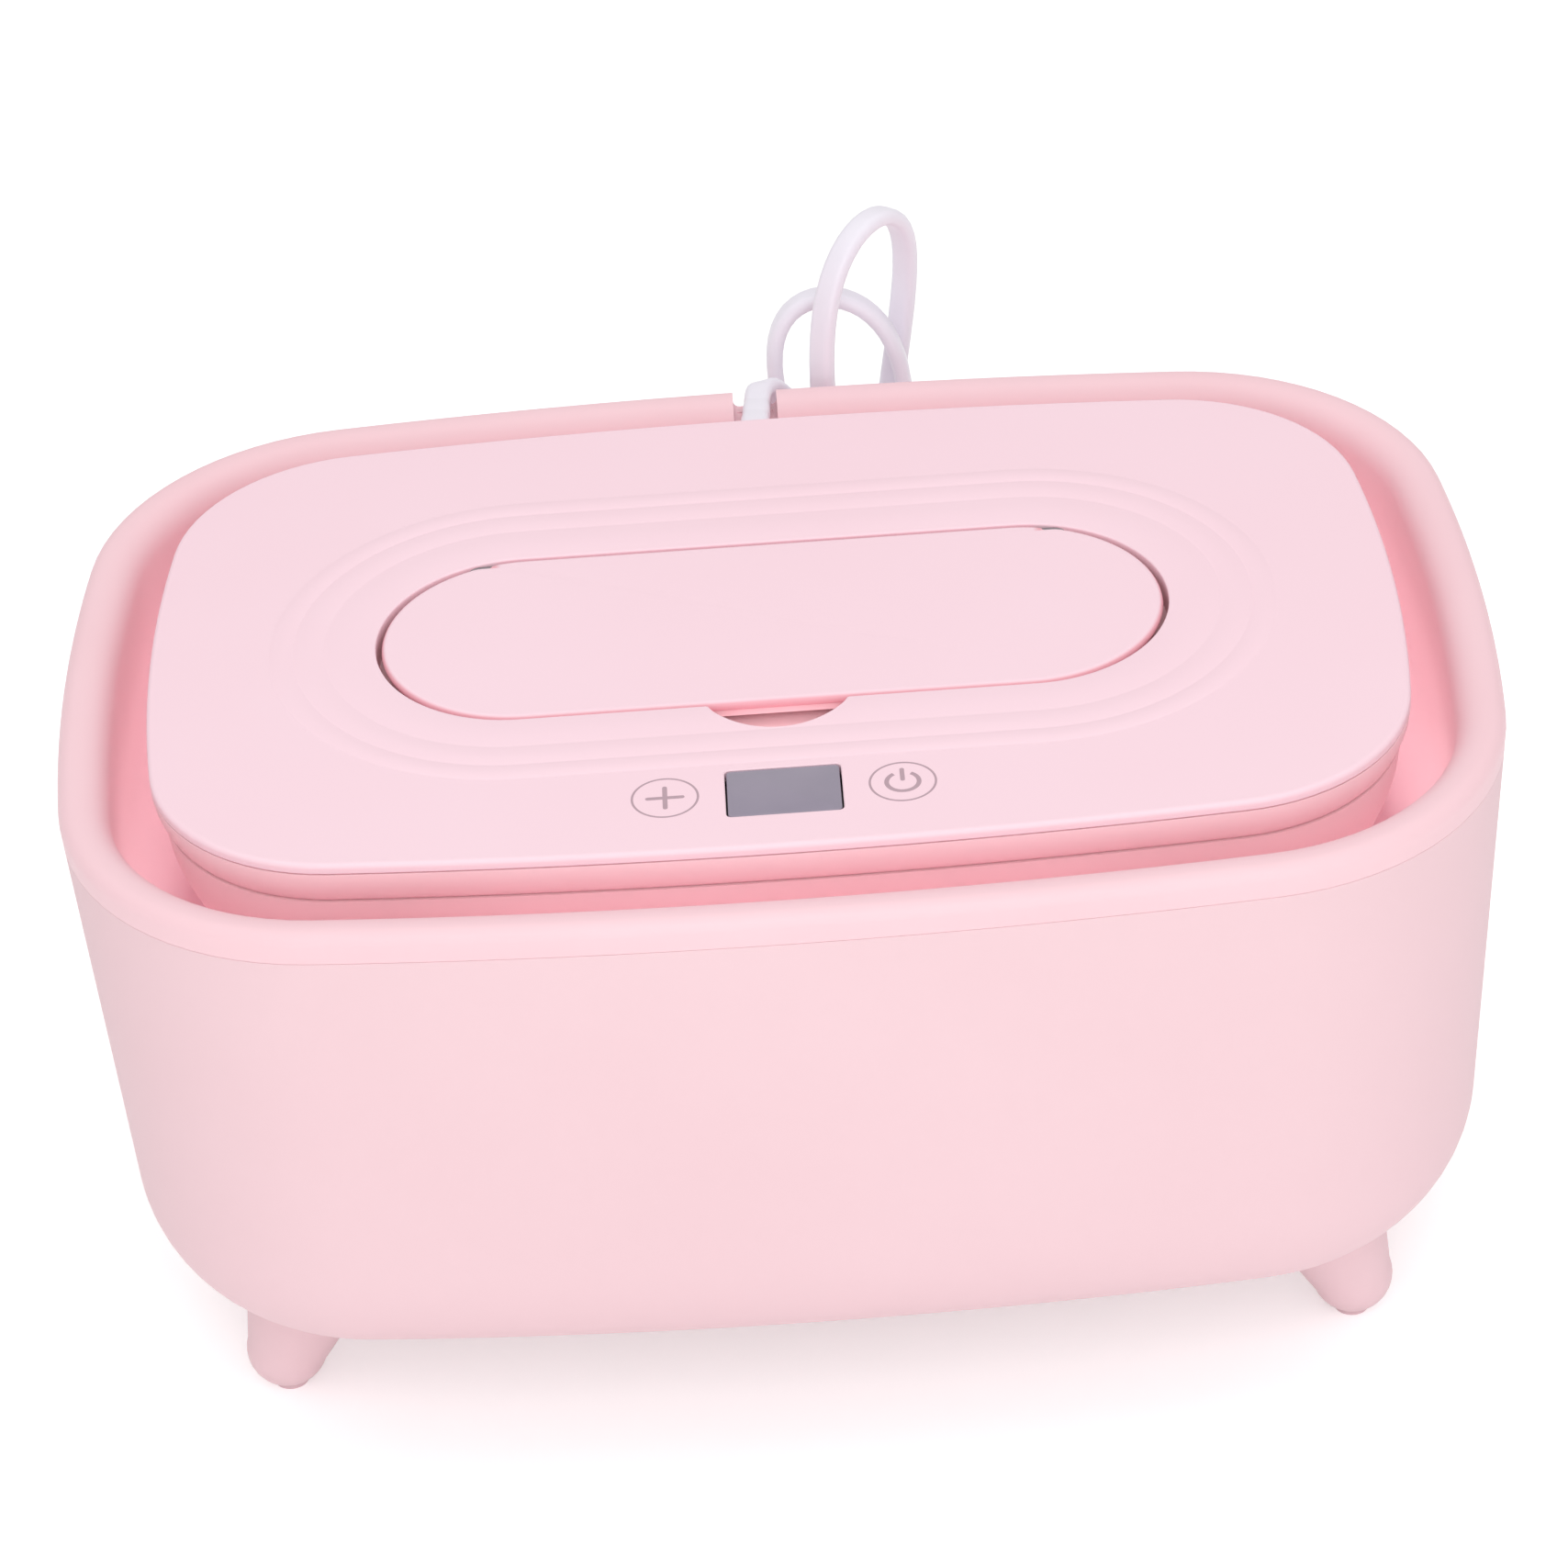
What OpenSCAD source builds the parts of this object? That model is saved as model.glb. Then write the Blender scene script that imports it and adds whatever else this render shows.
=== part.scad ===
// Baby wipe warmer: a bowed tub on four splayed feet, a lift-off heated lid, and a hinged
// dispensing flap in the lid. Millimetres, floor at z = 0, front towards -Y.

/* [Tub] */
// Half length of the tub, measured at the rim
tub_half_len = 126.9; // [122:0.1:134]
// Half depth of the tub, measured at the rim
tub_half_dep = 86.4; // [83:0.1:92]
// Radius of the bowed short sides
tub_short_r = 388; // [300:1:700]
// Radius of the bowed long sides
tub_long_r = 900; // [700:1:1500]
// Corner radius in plan
tub_corner_r = 49.3; // [44:0.1:54]
// Height of the tub from its underside to the crown of the rim
tub_h = 103.75; // [95:0.05:115]
// How far the wall leans in over that height
wall_draft = 5.05; // [2:0.05:7]
// Horizontal reach of the rounding round the underside
base_round_len = 22; // [12:0.5:24]
// Height of the rounding round the underside
base_round_h = 26; // [16:0.5:28]
// Wall of the outer shell
shell_wall = 2.4; // [2:0.1:2.8]
// Floor of the outer shell
shell_floor = 2.5; // [2:0.1:3]

/* [Liner] */
// Wall of the liner
liner_wall = 2.2; // [1.8:0.1:2.5]
// Distance from the shell's underside to the compartment floor
liner_lift = 10.5; // [9.5:0.1:14]
// Rounding at the outer edge of the rim
rim_outer_r = 2.5; // [2:0.1:3]
// Flat on top of the rim
rim_flat = 0.6; // [0.3:0.1:1.5]
// Rounding at the inner edge of the rim
rim_inner_r = 5.7; // [5:0.1:6.5]
// Height of the rim above the joint with the outer shell
rim_band_h = 5.75; // [5:0.05:6.5]
// Rounding between the compartment's wall and floor
bowl_round = 15; // [10:0.5:18]
// Left edge of the cord notch in the rear rim, from the centre
notch_left = 4.5; // [4:0.1:6]
// Right edge of the cord notch in the rear rim, from the centre
notch_right = 3.9; // [3.9:0.1:6]
// Depth of the cord notch below the crown of the rim
notch_depth = 4.15; // [4.1:0.05:4.5]

/* [Feet] */
// Height of the tub's underside above the floor
leg_h = 25.5; // [22:0.5:30]
// Distance of a foot's root from the end of the tub
leg_end_gap = 34.9; // [34:0.1:41]
// Distance of a foot's root from the side of the tub
leg_side_gap = 46.4; // [45.4:0.1:50]
// Radius of a foot at its root
leg_root_r = 11.8; // [10:0.1:12.5]
// Radius of the ball at the tip of a foot
leg_tip_r = 7.5; // [7:0.1:8.5]
// How far each foot leans outwards
leg_splay = 23.5; // [14:0.5:25]
// Compass direction in which the front right foot leans
leg_heading = 30; // [20:1:45]
// Radius of a rubber pad
pad_r = 3.2; // [2.5:0.1:4]
// Thickness of a rubber pad
pad_t = 1.6; // [1.2:0.1:2]

/* [Lid] */
// Distance from the end of the tub to the lid's widest line
lid_end_gap = 16; // [15:0.1:19]
// Distance from the side of the tub to the lid's widest line
lid_side_gap = 16.7; // [15.5:0.1:18.5]
// Radius of the lid's bowed short sides
lid_short_r = 307; // [250:1:500]
// Radius of the lid's bowed long sides
lid_long_r = 944; // [700:1:1500]
// Corner radius of the lid in plan
lid_corner_r = 34.8; // [32:0.1:38]
// Height of the lid's top above the rim
lid_proud = 2.75; // [1:0.05:5]
// Whole height of the lid
lid_h = 23.6; // [22:0.1:26]
// Thickness of the top cover
cover_t = 1.9; // [1.7:0.1:2.2]
// Height of the side band under the cover
band_h = 6.7; // [6.5:0.1:7]
// Wall of the side band and the pan
lid_wall = 2.2; // [1.8:0.1:2.4]
// Floor of the pan
pan_floor = 2; // [1.6:0.1:2.4]
// Depth of the recess under the pan that holds the heater
heater_recess = 3.6; // [3.4:0.1:4]

/* [Flap] */
// Half length of the flap
flap_half_len = 69.6; // [66:0.1:72]
// Half width of the flap
flap_half_wid = 25.7; // [24:0.1:27]
// Distance of the flap's centre line in front of the lid's centre
flap_setback = 0.6; // [0:0.1:2]
// Gap along the straight sides of the flap
flap_side_gap = 0.4; // [0.3:0.05:0.5]
// Gap at the round ends of the flap
flap_end_gap = 1; // [0.8:0.1:1.4]
// Thickness of the flap's outer panel
flap_t = 2; // [1.8:0.1:2.2]
// Thickness of the flap's inner panel
flap_inner_t = 1.5; // [1.2:0.1:1.8]
// Radius of a hinge pin
pin_r = 0.5; // [0.4:0.05:0.55]
// Radius of the finger scoop
scoop_r = 13.4; // [12:0.1:14]
// Distance of the scoop's centre in front of the lid's centre
scoop_y = 21; // [20:0.1:22]
// Depth of the well under the flap
well_depth = 5.8; // [5.6:0.1:6.4]
// Wall and floor of the well
well_wall = 1.6; // [1.2:0.1:1.8]
// Half length of the dispensing throat
throat_half_len = 50; // [44:0.5:54]
// Half width of the dispensing throat
throat_half_wid = 13; // [11:0.5:14]

/* [Display and keys] */
// Half length of the display window
display_half_len = 9.95; // [8:0.05:11]
// Half height of the display window
display_half_wid = 6.85; // [5:0.05:7]
// Distance of the display and the keys from the lid's front line
panel_gap = 16; // [15.2:0.1:16.7]
// Distance of each key from the centre
key_x = 20.15; // [19:0.05:24]
// Radius of a key
key_r = 5.55; // [4.5:0.05:6]

/* [Heater] */
// Distance from the end of the lid to the heater plate
plate_end_gap = 25.9; // [23:0.1:35]
// Distance from the side of the lid to the heater plate
plate_side_gap = 19.7; // [18.7:0.1:25]
// Thickness of the heater plate
plate_t = 1.5; // [1:0.1:1.6]
// Thickness of the heating film
film_t = 0.4; // [0.3:0.05:0.5]

/* [Lead] */
// Width of the flat lead
lead_w = 5.2; // [4.8:0.1:5.4]
// Thickness of the flat lead
lead_t = 3.2; // [2.8:0.1:3.4]
// Radius at which the strands lie round the middle strand of the hank
hank_r = 6.8; // [6.6:0.1:7.2]
// Height of the tie round the hank
tie_h = 5; // [3:0.5:8]

/* [Hidden] */
$fn = 48;
eps = 0.01;
slip = 0.05;            // running clearance of a pin or screw in its hole
seam = 0.2;             // visible joint line between two mouldings
side_steps = 2;         // segments along half a bowed side
corner_steps = 9;       // segments round a corner

// Sizes that follow the tub's outline
lid_half_len = tub_half_len - lid_end_gap;
lid_half_dep = tub_half_dep - lid_side_gap;
leg_x = tub_half_len - leg_end_gap;
leg_y = tub_half_dep - leg_side_gap;
panel_y = lid_half_dep - panel_gap;
plate_len = 2 * (lid_half_len - plate_end_gap);
plate_wid = 2 * (lid_half_dep - plate_side_gap);

// Levels of the tub
base_z = leg_h;
rim_z = base_z + tub_h;
joint_z = rim_z - rim_band_h;
bowl_z = base_z + liner_lift;
notch_z = rim_z - notch_depth;

// Levels of the lid, from the top down
lid_z = rim_z + lid_proud;
cover_z = lid_z - cover_t;
band_z = cover_z - band_h;
lid_foot_z = lid_z - lid_h;
pan_under_z = lid_foot_z + heater_recess;
pan_z = pan_under_z + pan_floor;
well_z = lid_z - well_depth;
well_under_z = well_z - well_wall;
plate_z = lid_foot_z + seam;

// Screws
m3_r = 1.5;
m3_head_r = 2.7;
m3_head_h = 2;
m3_hole_r = 1.7;
m2_r = 1;
m2_head_r = 1.9;
m2_head_h = 1.2;

// Plan outline: bowed short and long sides joined by tangent corner arcs

function arc_points(centre, radius, from, to, steps) =
  [for (i = [0:steps]) centre + radius * [cos(from + (to - from) * i / steps),
                                          sin(from + (to - from) * i / steps)]];

function without_last(list) = [for (i = [0:len(list) - 2]) list[i]];

function bowed_quarter(a, b, short_r, long_r, corner_r) =
  let (short_c = [a - short_r, 0],
       long_c = [0, b - long_r],
       apart = norm(long_c - short_c),
       along = (long_c - short_c) / apart,
       near = short_r - corner_r,
       far = long_r - corner_r,
       t = (near * near - far * far + apart * apart) / (2 * apart),
       corner_c = short_c + t * along + sqrt(near * near - t * t) * [-along.y, along.x],
       first = atan2(corner_c.y, corner_c.x - short_c.x),
       second = atan2(corner_c.y - long_c.y, corner_c.x))
  concat(without_last(arc_points(short_c, short_r, 0, first, side_steps)),
         without_last(arc_points(corner_c, corner_r, first, second, corner_steps)),
         arc_points(long_c, long_r, second, 90, side_steps));

function four_quarters(q) =
  let (last = len(q) - 1)
  concat(q, [for (i = [last - 1:-1:1]) [-q[i].x, q[i].y]],
         [for (p = q) -p], [for (i = [last - 1:-1:1]) [q[i].x, -q[i].y]]);

function tub_plan(inset) =
  four_quarters(bowed_quarter(tub_half_len - inset, tub_half_dep - inset, tub_short_r - inset,
                              tub_long_r - inset, tub_corner_r - inset));

function lid_plan(inset) =
  four_quarters(bowed_quarter(lid_half_len - inset, lid_half_dep - inset, lid_short_r - inset,
                              lid_long_r - inset, lid_corner_r - inset));

function stadium_plan(half_len, half_wid, steps = 12) =
  four_quarters(concat(arc_points([half_len - half_wid, 0], half_wid, 0, 90, steps),
                       [[0, half_wid]]));

function at_height(plan, z) = [for (p = plan) [p.x, p.y, z]];

// Skin through rings of equal count; each ring runs anticlockwise seen from above
module loft(rings, closed = false) {
  n = len(rings[0]);
  count = len(rings);
  points = [for (ring = rings) each ring];
  sides = [for (j = [0:count - (closed ? 1 : 2)], i = [0:n - 1])
             let (a = j * n + i, b = (j + 1) % count * n + i,
                  c = (j + 1) % count * n + (i + 1) % n, d = j * n + (i + 1) % n)
             each [[a, b, c], [a, c, d]]];
  caps = closed ? [] : [[for (i = [0:n - 1]) i],
                        [for (i = [n - 1:-1:0]) (count - 1) * n + i]];
  polyhedron(points, concat(sides, caps));
}

module tub_loft(profile, closed = false) {
  loft([for (p = profile) at_height(tub_plan(p[0]), p[1])], closed);
}

module lid_loft(profile, closed = false) {
  loft([for (p = profile) at_height(lid_plan(p[0]), p[1])], closed);
}

module stadium(half_len, half_wid) {
  square([2 * (half_len - half_wid), 2 * half_wid], center = true);
  for (side = [-1, 1])
    translate([side * (half_len - half_wid), 0])
      circle(r = half_wid);
}

module stadium_block(half_len, half_wid, z_low, z_high) {
  translate([0, -flap_setback, z_low])
    linear_extrude(z_high - z_low)
      stadium(half_len, half_wid);
}

module rod(r, z_low, z_high) {
  translate([0, 0, z_low])
    cylinder(r = r, h = z_high - z_low);
}

module block(x_low, x_high, y_low, y_high, z_low, z_high) {
  translate([x_low, y_low, z_low])
    cube([x_high - x_low, y_high - y_low, z_high - z_low]);
}

// A screw with its head down at z_head and its tip up, or the other way round
module screw(r, head_r, head_h, z_head, z_tip) {
  up = z_tip > z_head ? 1 : -1;
  rod(head_r, min(z_head, z_head - up * head_h), max(z_head, z_head - up * head_h));
  rod(r, min(z_head, z_tip), max(z_head, z_tip));
}

module four_corners(x, y) {
  for (sx = [-1, 1], sy = [-1, 1])
    translate([sx * x, sy * y, 0])
      children();
}

// ---- Tub ----

// Inset of the drafted outer wall at a height
function wall_inset(z) = wall_draft * (rim_z - z) / tub_h;

// Quarter ellipse between the drafted wall and a floor, from the floor's edge upwards
function foot_round(wall, floor_z, reach, rise, steps) =
  [for (i = [0:steps])
     let (a = 90 * i / steps)
     [wall_inset(floor_z + rise) + wall + reach * (1 - sin(a)), floor_z + rise * (1 - cos(a))]];

function reversed(list) = [for (i = [len(list) - 1:-1:0]) list[i]];

lip_t = 1.2;            // tongue of the shell that the liner's rim hangs over
lip_gap = 0.15;
lip_h = 1.8;
saddle_margin = 2.5;
shell_screw_x = 55;
shell_screw_y = 35;
shell_boss_r = 4.5;
shell_boss_h = 5;
counterbore_r = 3;
counterbore_h = 2.5;

function underside_round() = foot_round(0, base_z, base_round_len, base_round_h, 6);

module outer_shell() {
  lip_in = wall_inset(joint_z) + lip_gap + liner_flange;
  color([0.96, 0.83, 0.84])
    difference() {
      union() {
        tub_loft(concat(
          underside_round(),
          [[wall_inset(joint_z), joint_z],
           [lip_in, joint_z],
           [lip_in, joint_z + lip_h],
           [lip_in + lip_t, joint_z + lip_h]],
          reversed(foot_round(shell_wall, base_z + shell_floor, base_round_len - shell_wall,
                              base_round_h - shell_floor, 5))));
        four_corners(shell_screw_x, shell_screw_y)
          rod(shell_boss_r, base_z + shell_floor - eps, base_z + shell_boss_h);
      }
      four_corners(shell_screw_x, shell_screw_y) {
        rod(counterbore_r, base_z - 1, base_z + counterbore_h);
        rod(m3_hole_r, base_z, base_z + shell_boss_h + 1);
      }
      four_corners(leg_x, leg_y)
        rod(m3_hole_r, base_z - 1, base_z + shell_floor + 1);
      block(-notch_left - saddle_margin - 1, notch_right + saddle_margin + 1,
            tub_half_dep - 10, tub_half_dep + 1, joint_z + eps, rim_z);
    }
}

liner_flange = 1.1;     // rim skirt outside the shell's tongue
bead_w = rim_outer_r + rim_flat + rim_inner_r;
fin_t = 3;
fin_x = 62;
fin_nose_h = 7;
fin_run = 26;
liner_boss_r = 3.5;
liner_under_z = bowl_z - liner_wall;
lid_foot_inset = 5.3;
seat_gap = 0.2;

// y of a long inner wall at a distance x from the centre
function long_wall_y(inset, x) =
  tub_half_dep - tub_long_r + sqrt(pow(tub_long_r - inset, 2) - x * x);

function bowl_inset(z) = bead_w + wall_inset(z);

function lid_wall_y(inset, x) =
  lid_half_dep - lid_long_r + sqrt(pow(lid_long_r - inset, 2) - x * x);

module inner_liner() {
  outer_arc = [for (i = [0:4])
                 let (a = 90 * i / 4)
                 [wall_inset(rim_z - rim_outer_r) + rim_outer_r * (1 - cos(a)),
                  rim_z - rim_outer_r + rim_outer_r * sin(a)]];
  inner_arc = [for (i = [5:-1:0])
                 let (a = 90 * i / 5)
                 [bead_w - rim_inner_r * (1 - cos(a)),
                  rim_z - rim_inner_r + rim_inner_r * sin(a)]];
  skirt_in = wall_inset(joint_z) + liner_flange;
  channel_z = joint_z + lip_h + 0.5;
  color([0.95, 0.78, 0.81])
    difference() {
      union() {
        tub_loft(concat(
          foot_round(bead_w - liner_wall, liner_under_z, bowl_round + liner_wall,
                     bowl_round + liner_wall, 4),
          [[bead_w - liner_wall, channel_z - 1],
           [bead_w - liner_wall - 1.5, channel_z + 1],
           [skirt_in + 0.8, channel_z + 1],
           [skirt_in, channel_z],
           [skirt_in, joint_z + seam],
           [wall_inset(joint_z), joint_z + seam]],
          outer_arc, inner_arc,
          reversed(foot_round(bead_w, bowl_z, bowl_round, bowl_round, 4))));
        liner_fins();
        four_corners(shell_screw_x, shell_screw_y)
          rod(liner_boss_r, base_z + shell_boss_h + seam, liner_under_z + eps);
        block(-notch_left - saddle_margin, notch_right + saddle_margin,
              tub_half_dep - bead_w, tub_half_dep - 1, joint_z + seam, notch_z + 1);
      }
      four_corners(shell_screw_x, shell_screw_y)
        rod(m3_r + slip, base_z + shell_boss_h, liner_under_z + 1.2);
      cord_notch();
    }
}

// Gusset that carries the lid's skirt
module liner_fins() {
  top = lid_foot_z - seat_gap;
  nose = lid_wall_y(lid_foot_inset + lid_wall + 0.5, fin_x);
  root_top = long_wall_y(bowl_inset(top) - liner_wall / 2, fin_x);
  root_low = long_wall_y(bowl_inset(top - fin_nose_h - fin_run) - liner_wall / 2, fin_x);
  for (sx = [-1, 1], sy = [-1, 1])
    scale([1, sy, 1])
      translate([sx * fin_x - fin_t / 2, 0, 0])
        rotate([90, 0, 90])
          linear_extrude(fin_t)
            polygon([[nose, top], [nose, top - fin_nose_h],
                     [root_low, top - fin_nose_h - fin_run], [root_top, top]]);
}

module cord_notch() {
  corner = 1.2;
  translate([0, tub_half_dep + 2, 0])
    rotate([90, 0, 0])
      linear_extrude(bead_w + 6) {
        translate([-notch_left, notch_z + corner])
          square([notch_left + notch_right, notch_depth + 2]);
        translate([-notch_left + corner, notch_z])
          square([notch_left + notch_right - 2 * corner, corner + 1]);
        for (x = [-notch_left + corner, notch_right - corner])
          translate([x, notch_z + corner])
            circle(r = corner);
      }
}

leg_run = (base_z - leg_tip_r - 0.5) / cos(leg_splay);  // root to ball centre, on the axis
leg_bulge = 0.35;
root_rise = 3;          // how far a root may follow the underside's rounding up

// Half outline of a foot in its own axis frame, root at 0, tip downwards
function leg_profile() =
  concat([[0, 8], [leg_root_r + 1.2, 8]],
         [for (i = [0:6])
            let (u = i / 6)
            [leg_root_r + (leg_tip_r - leg_root_r) * u + leg_bulge * sin(180 * u), -leg_run * u]],
         [for (i = [1:9]) [leg_tip_r * cos(10 * i), -leg_run - leg_tip_r * sin(10 * i)]]);

module leg(sx, sy) {
  heading = atan2(sy * sin(leg_heading), sx * cos(leg_heading));
  shift = tan(leg_splay) * (base_z - leg_tip_r - 0.5);
  color([0.96, 0.83, 0.84])
    difference() {
      intersection() {
        translate([sx * leg_x, sy * leg_y, base_z])
          rotate([0, 0, heading])
            rotate([0, -leg_splay, 0])
              rotate_extrude()
                polygon(leg_profile());
        block(-200, 200, -200, 200, 0, base_z + root_rise);
      }
      tub_loft(underside_round());
      translate([sx * leg_x, sy * leg_y, 0])
        rod(m3_r + slip, base_z - leg_screw_depth - 0.5, base_z + 1);
      translate([sx * leg_x, sy * leg_y, 0])
        rotate([0, 0, heading])
          translate([shift, 0, 0])
            rod(pad_r + 0.2, -1, pad_t);
    }
}

leg_screw_depth = 11;

module leg_front_left() leg(-1, -1);
module leg_front_right() leg(1, -1);
module leg_rear_left() leg(-1, 1);
module leg_rear_right() leg(1, 1);

module leg_screws() {
  color([0.75, 0.76, 0.78])
    four_corners(leg_x, leg_y)
      screw(m3_r, m3_head_r, m3_head_h, base_z + shell_floor, base_z - leg_screw_depth);
}

module foot_pads() {
  shift = tan(leg_splay) * (base_z - leg_tip_r - 0.5);
  color([0.35, 0.32, 0.34])
    for (sx = [-1, 1], sy = [-1, 1])
      translate([sx * (leg_x + shift * cos(leg_heading)),
                 sy * (leg_y + shift * sin(leg_heading)), 0])
        rod(pad_r, 0, pad_t);
}

module shell_screws() {
  color([0.75, 0.76, 0.78])
    four_corners(shell_screw_x, shell_screw_y)
      screw(m3_r, m3_head_r, m3_head_h, base_z + counterbore_h, liner_under_z + 1);
}

// ---- Lid ----

lid_screw_x = 60;
lid_screw_y = lid_half_dep - 12.7;
lid_end_screw_x = lid_half_len - 12.9;
boss_r = 3.4;
rib_inset = 2.7;
rib_t = 1.4;
rib_h = 2.6;

// The flap's opening is widened a little at its ends
open_len = flap_half_len + flap_end_gap;
open_wid = flap_half_wid + flap_side_gap;

hinge_y = flap_half_wid - flap_setback - flap_t / 2;
hinge_z = lid_z - flap_t / 2;
pin_in = flap_half_len - 29.6;
pin_out = flap_half_len - 12.2;
pin_cut = 4;             // overlap of the pin's two holes with the gap between them
knuckle_x = flap_half_len - 19.6;

module lid_screw_places() {
  four_corners(lid_screw_x, lid_screw_y)
    children();
  for (side = [-1, 1])
    translate([side * lid_end_screw_x, 0, 0])
      children();
}

module pin_line(r, x_low, x_high) {
  for (side = [-1, 1])
    scale([side, 1, 1])
      translate([x_low, hinge_y, hinge_z])
        rotate([0, 90, 0])
          cylinder(r = r, h = x_high - x_low);
}

module scoop_disc(r, z_low, z_high) {
  translate([0, -scoop_y, 0])
    rod(r, z_low, z_high);
}

// Three fine creases round the flap's opening part the low ripples of the cover
crease_wids = [35, 40.5, 44.7];
crease_straight = 44.9;
crease_setback = 0.2;
crease_w = 0.6;
crease_depth = 0.15;

module cover_creases() {
  translate([0, -crease_setback, lid_z - crease_depth])
    linear_extrude(1)
      for (wid = crease_wids)
        difference() {
          stadium(crease_straight + wid + crease_w / 2, wid + crease_w / 2);
          stadium(crease_straight + wid - crease_w / 2, wid - crease_w / 2);
        }
}

module lid_cover() {
  edge = [[0, 0], [0.1, 0.7], [0.45, 1.3], [1, 1.7], [1.9, 1.9]];
  lead_in = 0.35;
  color([0.98, 0.86, 0.89])
    difference() {
      union() {
        lid_loft([for (e = edge) [e[0], cover_z + e[1] * cover_t / 1.9]]);
        difference() {
          translate([0, 0, cover_z - rib_h])
            linear_extrude(rib_h + eps)
              difference() {
                polygon(lid_plan(rib_inset));
                polygon(lid_plan(rib_inset + rib_t));
              }
          block(-relief_w, relief_w, 0, lid_half_dep, cover_z - rib_h - 1, cover_z);
        }
        lid_screw_places()
          rod(boss_r, band_z + 2.2, cover_z + eps);
      }
      translate([0, -flap_setback, 0])
        loft([at_height(stadium_plan(open_len, open_wid), cover_z - 1),
              at_height(stadium_plan(open_len, open_wid), lid_z - lead_in),
              at_height(stadium_plan(open_len + lead_in, open_wid + lead_in), lid_z + eps),
              at_height(stadium_plan(open_len + lead_in, open_wid + lead_in), lid_z + 1)]);
      cover_creases();
      scoop_disc(scoop_r, cover_z - 1, lid_z + 1);
      block(-display_half_len, display_half_len, -panel_y - display_half_wid,
            -panel_y + display_half_wid, cover_z - 1, lid_z + 1);
      pin_line(pin_r + slip, knuckle_x, pin_out + 0.2);
      lid_screw_places()
        rod(m3_r + slip, cover_z - 10, cover_z + 0.4);
    }
}

band_foot_inset = 2;
flange_w = 4;            // ledge of the band that rests on the pan

module lid_mid_shell() {
  curve = [[band_foot_inset, 0], [1.2, 0.21], [0.55, 0.46], [0.15, 0.76], [0, 1]];
  top = cover_z;
  color([0.96, 0.7, 0.74])
    difference() {
      lid_loft(concat(
        [for (c = curve) [c[0], band_z + c[1] * band_h]],
        [[lid_wall, top],
         [lid_wall + 0.4, band_z + 2.6],
         [lid_wall + 1.6, band_z + 1.8],
         [band_foot_inset + lid_wall + flange_w, band_z + 1.8],
         [band_foot_inset + lid_wall + flange_w, band_z]]), closed = true);
      relief_hole();
    }
}

module lid_base() {
  top = band_z - seam;
  h = top - lid_foot_z;
  curve = [[lid_foot_inset, 0], [4, 0.18], [2.8, 0.45], [2, 0.79], [1.7, 1]];
  color([0.97, 0.8, 0.83])
    difference() {
      union() {
        lid_loft(concat(
          [[lid_foot_inset + lid_wall, pan_under_z],
           [lid_foot_inset + lid_wall, lid_foot_z]],
          [for (c = curve) [c[0], lid_foot_z + c[1] * h]],
          [[curve[4][0] + lid_wall, top],
           [curve[2][0] + lid_wall, lid_foot_z + 0.5 * h],
           [curve[1][0] + lid_wall, pan_z]]));
        lid_screw_places()
          rod(boss_r, pan_z - eps, top);
        board_places(control_x, -control_y)
          rod(2.6, pan_z - eps, board_z);
        board_places(power_x, power_y)
          rod(2.6, pan_z - eps, board_z);
      }
      stadium_block(throat_half_len + well_wall + 0.2, throat_half_wid + well_wall + 0.2,
                    pan_under_z - 1, pan_z + 1);
      lid_screw_places()
        rod(m3_hole_r, pan_under_z - 1, top + 1);
      sensor_places(sensor_r + 0.3, pan_under_z - 1, pan_z + 1);
      board_places(control_x, -control_y)
        rod(m2_r + slip, board_z - 6, board_z + 1);
      board_places(power_x, power_y)
        rod(m2_r + slip, board_z - 6, board_z + 1);
    }
}

module well_plan(grow) {
  translate([0, -flap_setback])
    stadium(open_len + grow, open_wid + grow);
  translate([0, -scoop_y])
    circle(r = scoop_r + grow);
}

seal_half_len = 56;
seal_half_wid = 17.4;
seal_t = 2.4;
seal_lip_h = 0.7;

module flip_well() {
  color([0.95, 0.74, 0.78])
    difference() {
      union() {
        difference() {
          translate([0, 0, well_under_z])
            linear_extrude(cover_z - well_under_z)
              well_plan(well_wall);
          translate([0, 0, well_z])
            linear_extrude(cover_z)
              well_plan(0);
        }
        stadium_block(throat_half_len + well_wall, throat_half_wid + well_wall, plate_z + plate_t,
                      well_under_z + eps);
        difference() {
          stadium_block(seal_half_len, seal_half_wid, well_z - eps, well_z + seal_lip_h);
          stadium_block(seal_half_len - 1.2, seal_half_wid - 1.2, well_z - 1, lid_z);
        }
      }
      stadium_block(throat_half_len, throat_half_wid, lid_foot_z - 1, lid_z);
    }
}

gasket_lip = 4;
gasket_t = 1.2;

module throat_gasket() {
  color([0.93, 0.9, 0.92])
    difference() {
      union() {
        stadium_block(throat_half_len + 2, throat_half_wid + 2, well_z, well_z + gasket_t);
        stadium_block(throat_half_len, throat_half_wid, well_under_z, well_z + eps);
      }
      stadium_block(throat_half_len - gasket_lip, throat_half_wid - gasket_lip,
                    well_under_z - 1, lid_z);
    }
}

// Corner radius and outline shared by the plate, the film and the pad
module heater_layer(shrink, z_low, z_high) {
  r = 12;
  x = plate_len / 2 - shrink - r;
  y = plate_wid / 2 - shrink - r;
  difference() {
    union() {
      block(-x - r, x + r, -y, y, z_low, z_high);
      block(-x, x, -y - r, y + r, z_low, z_high);
      four_corners(x, y)
        rod(r, z_low, z_high);
    }
    stadium_block(throat_half_len + well_wall + 0.2, throat_half_wid + well_wall + 0.2,
                  z_low - 1, z_high + 1);
  }
}

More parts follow.
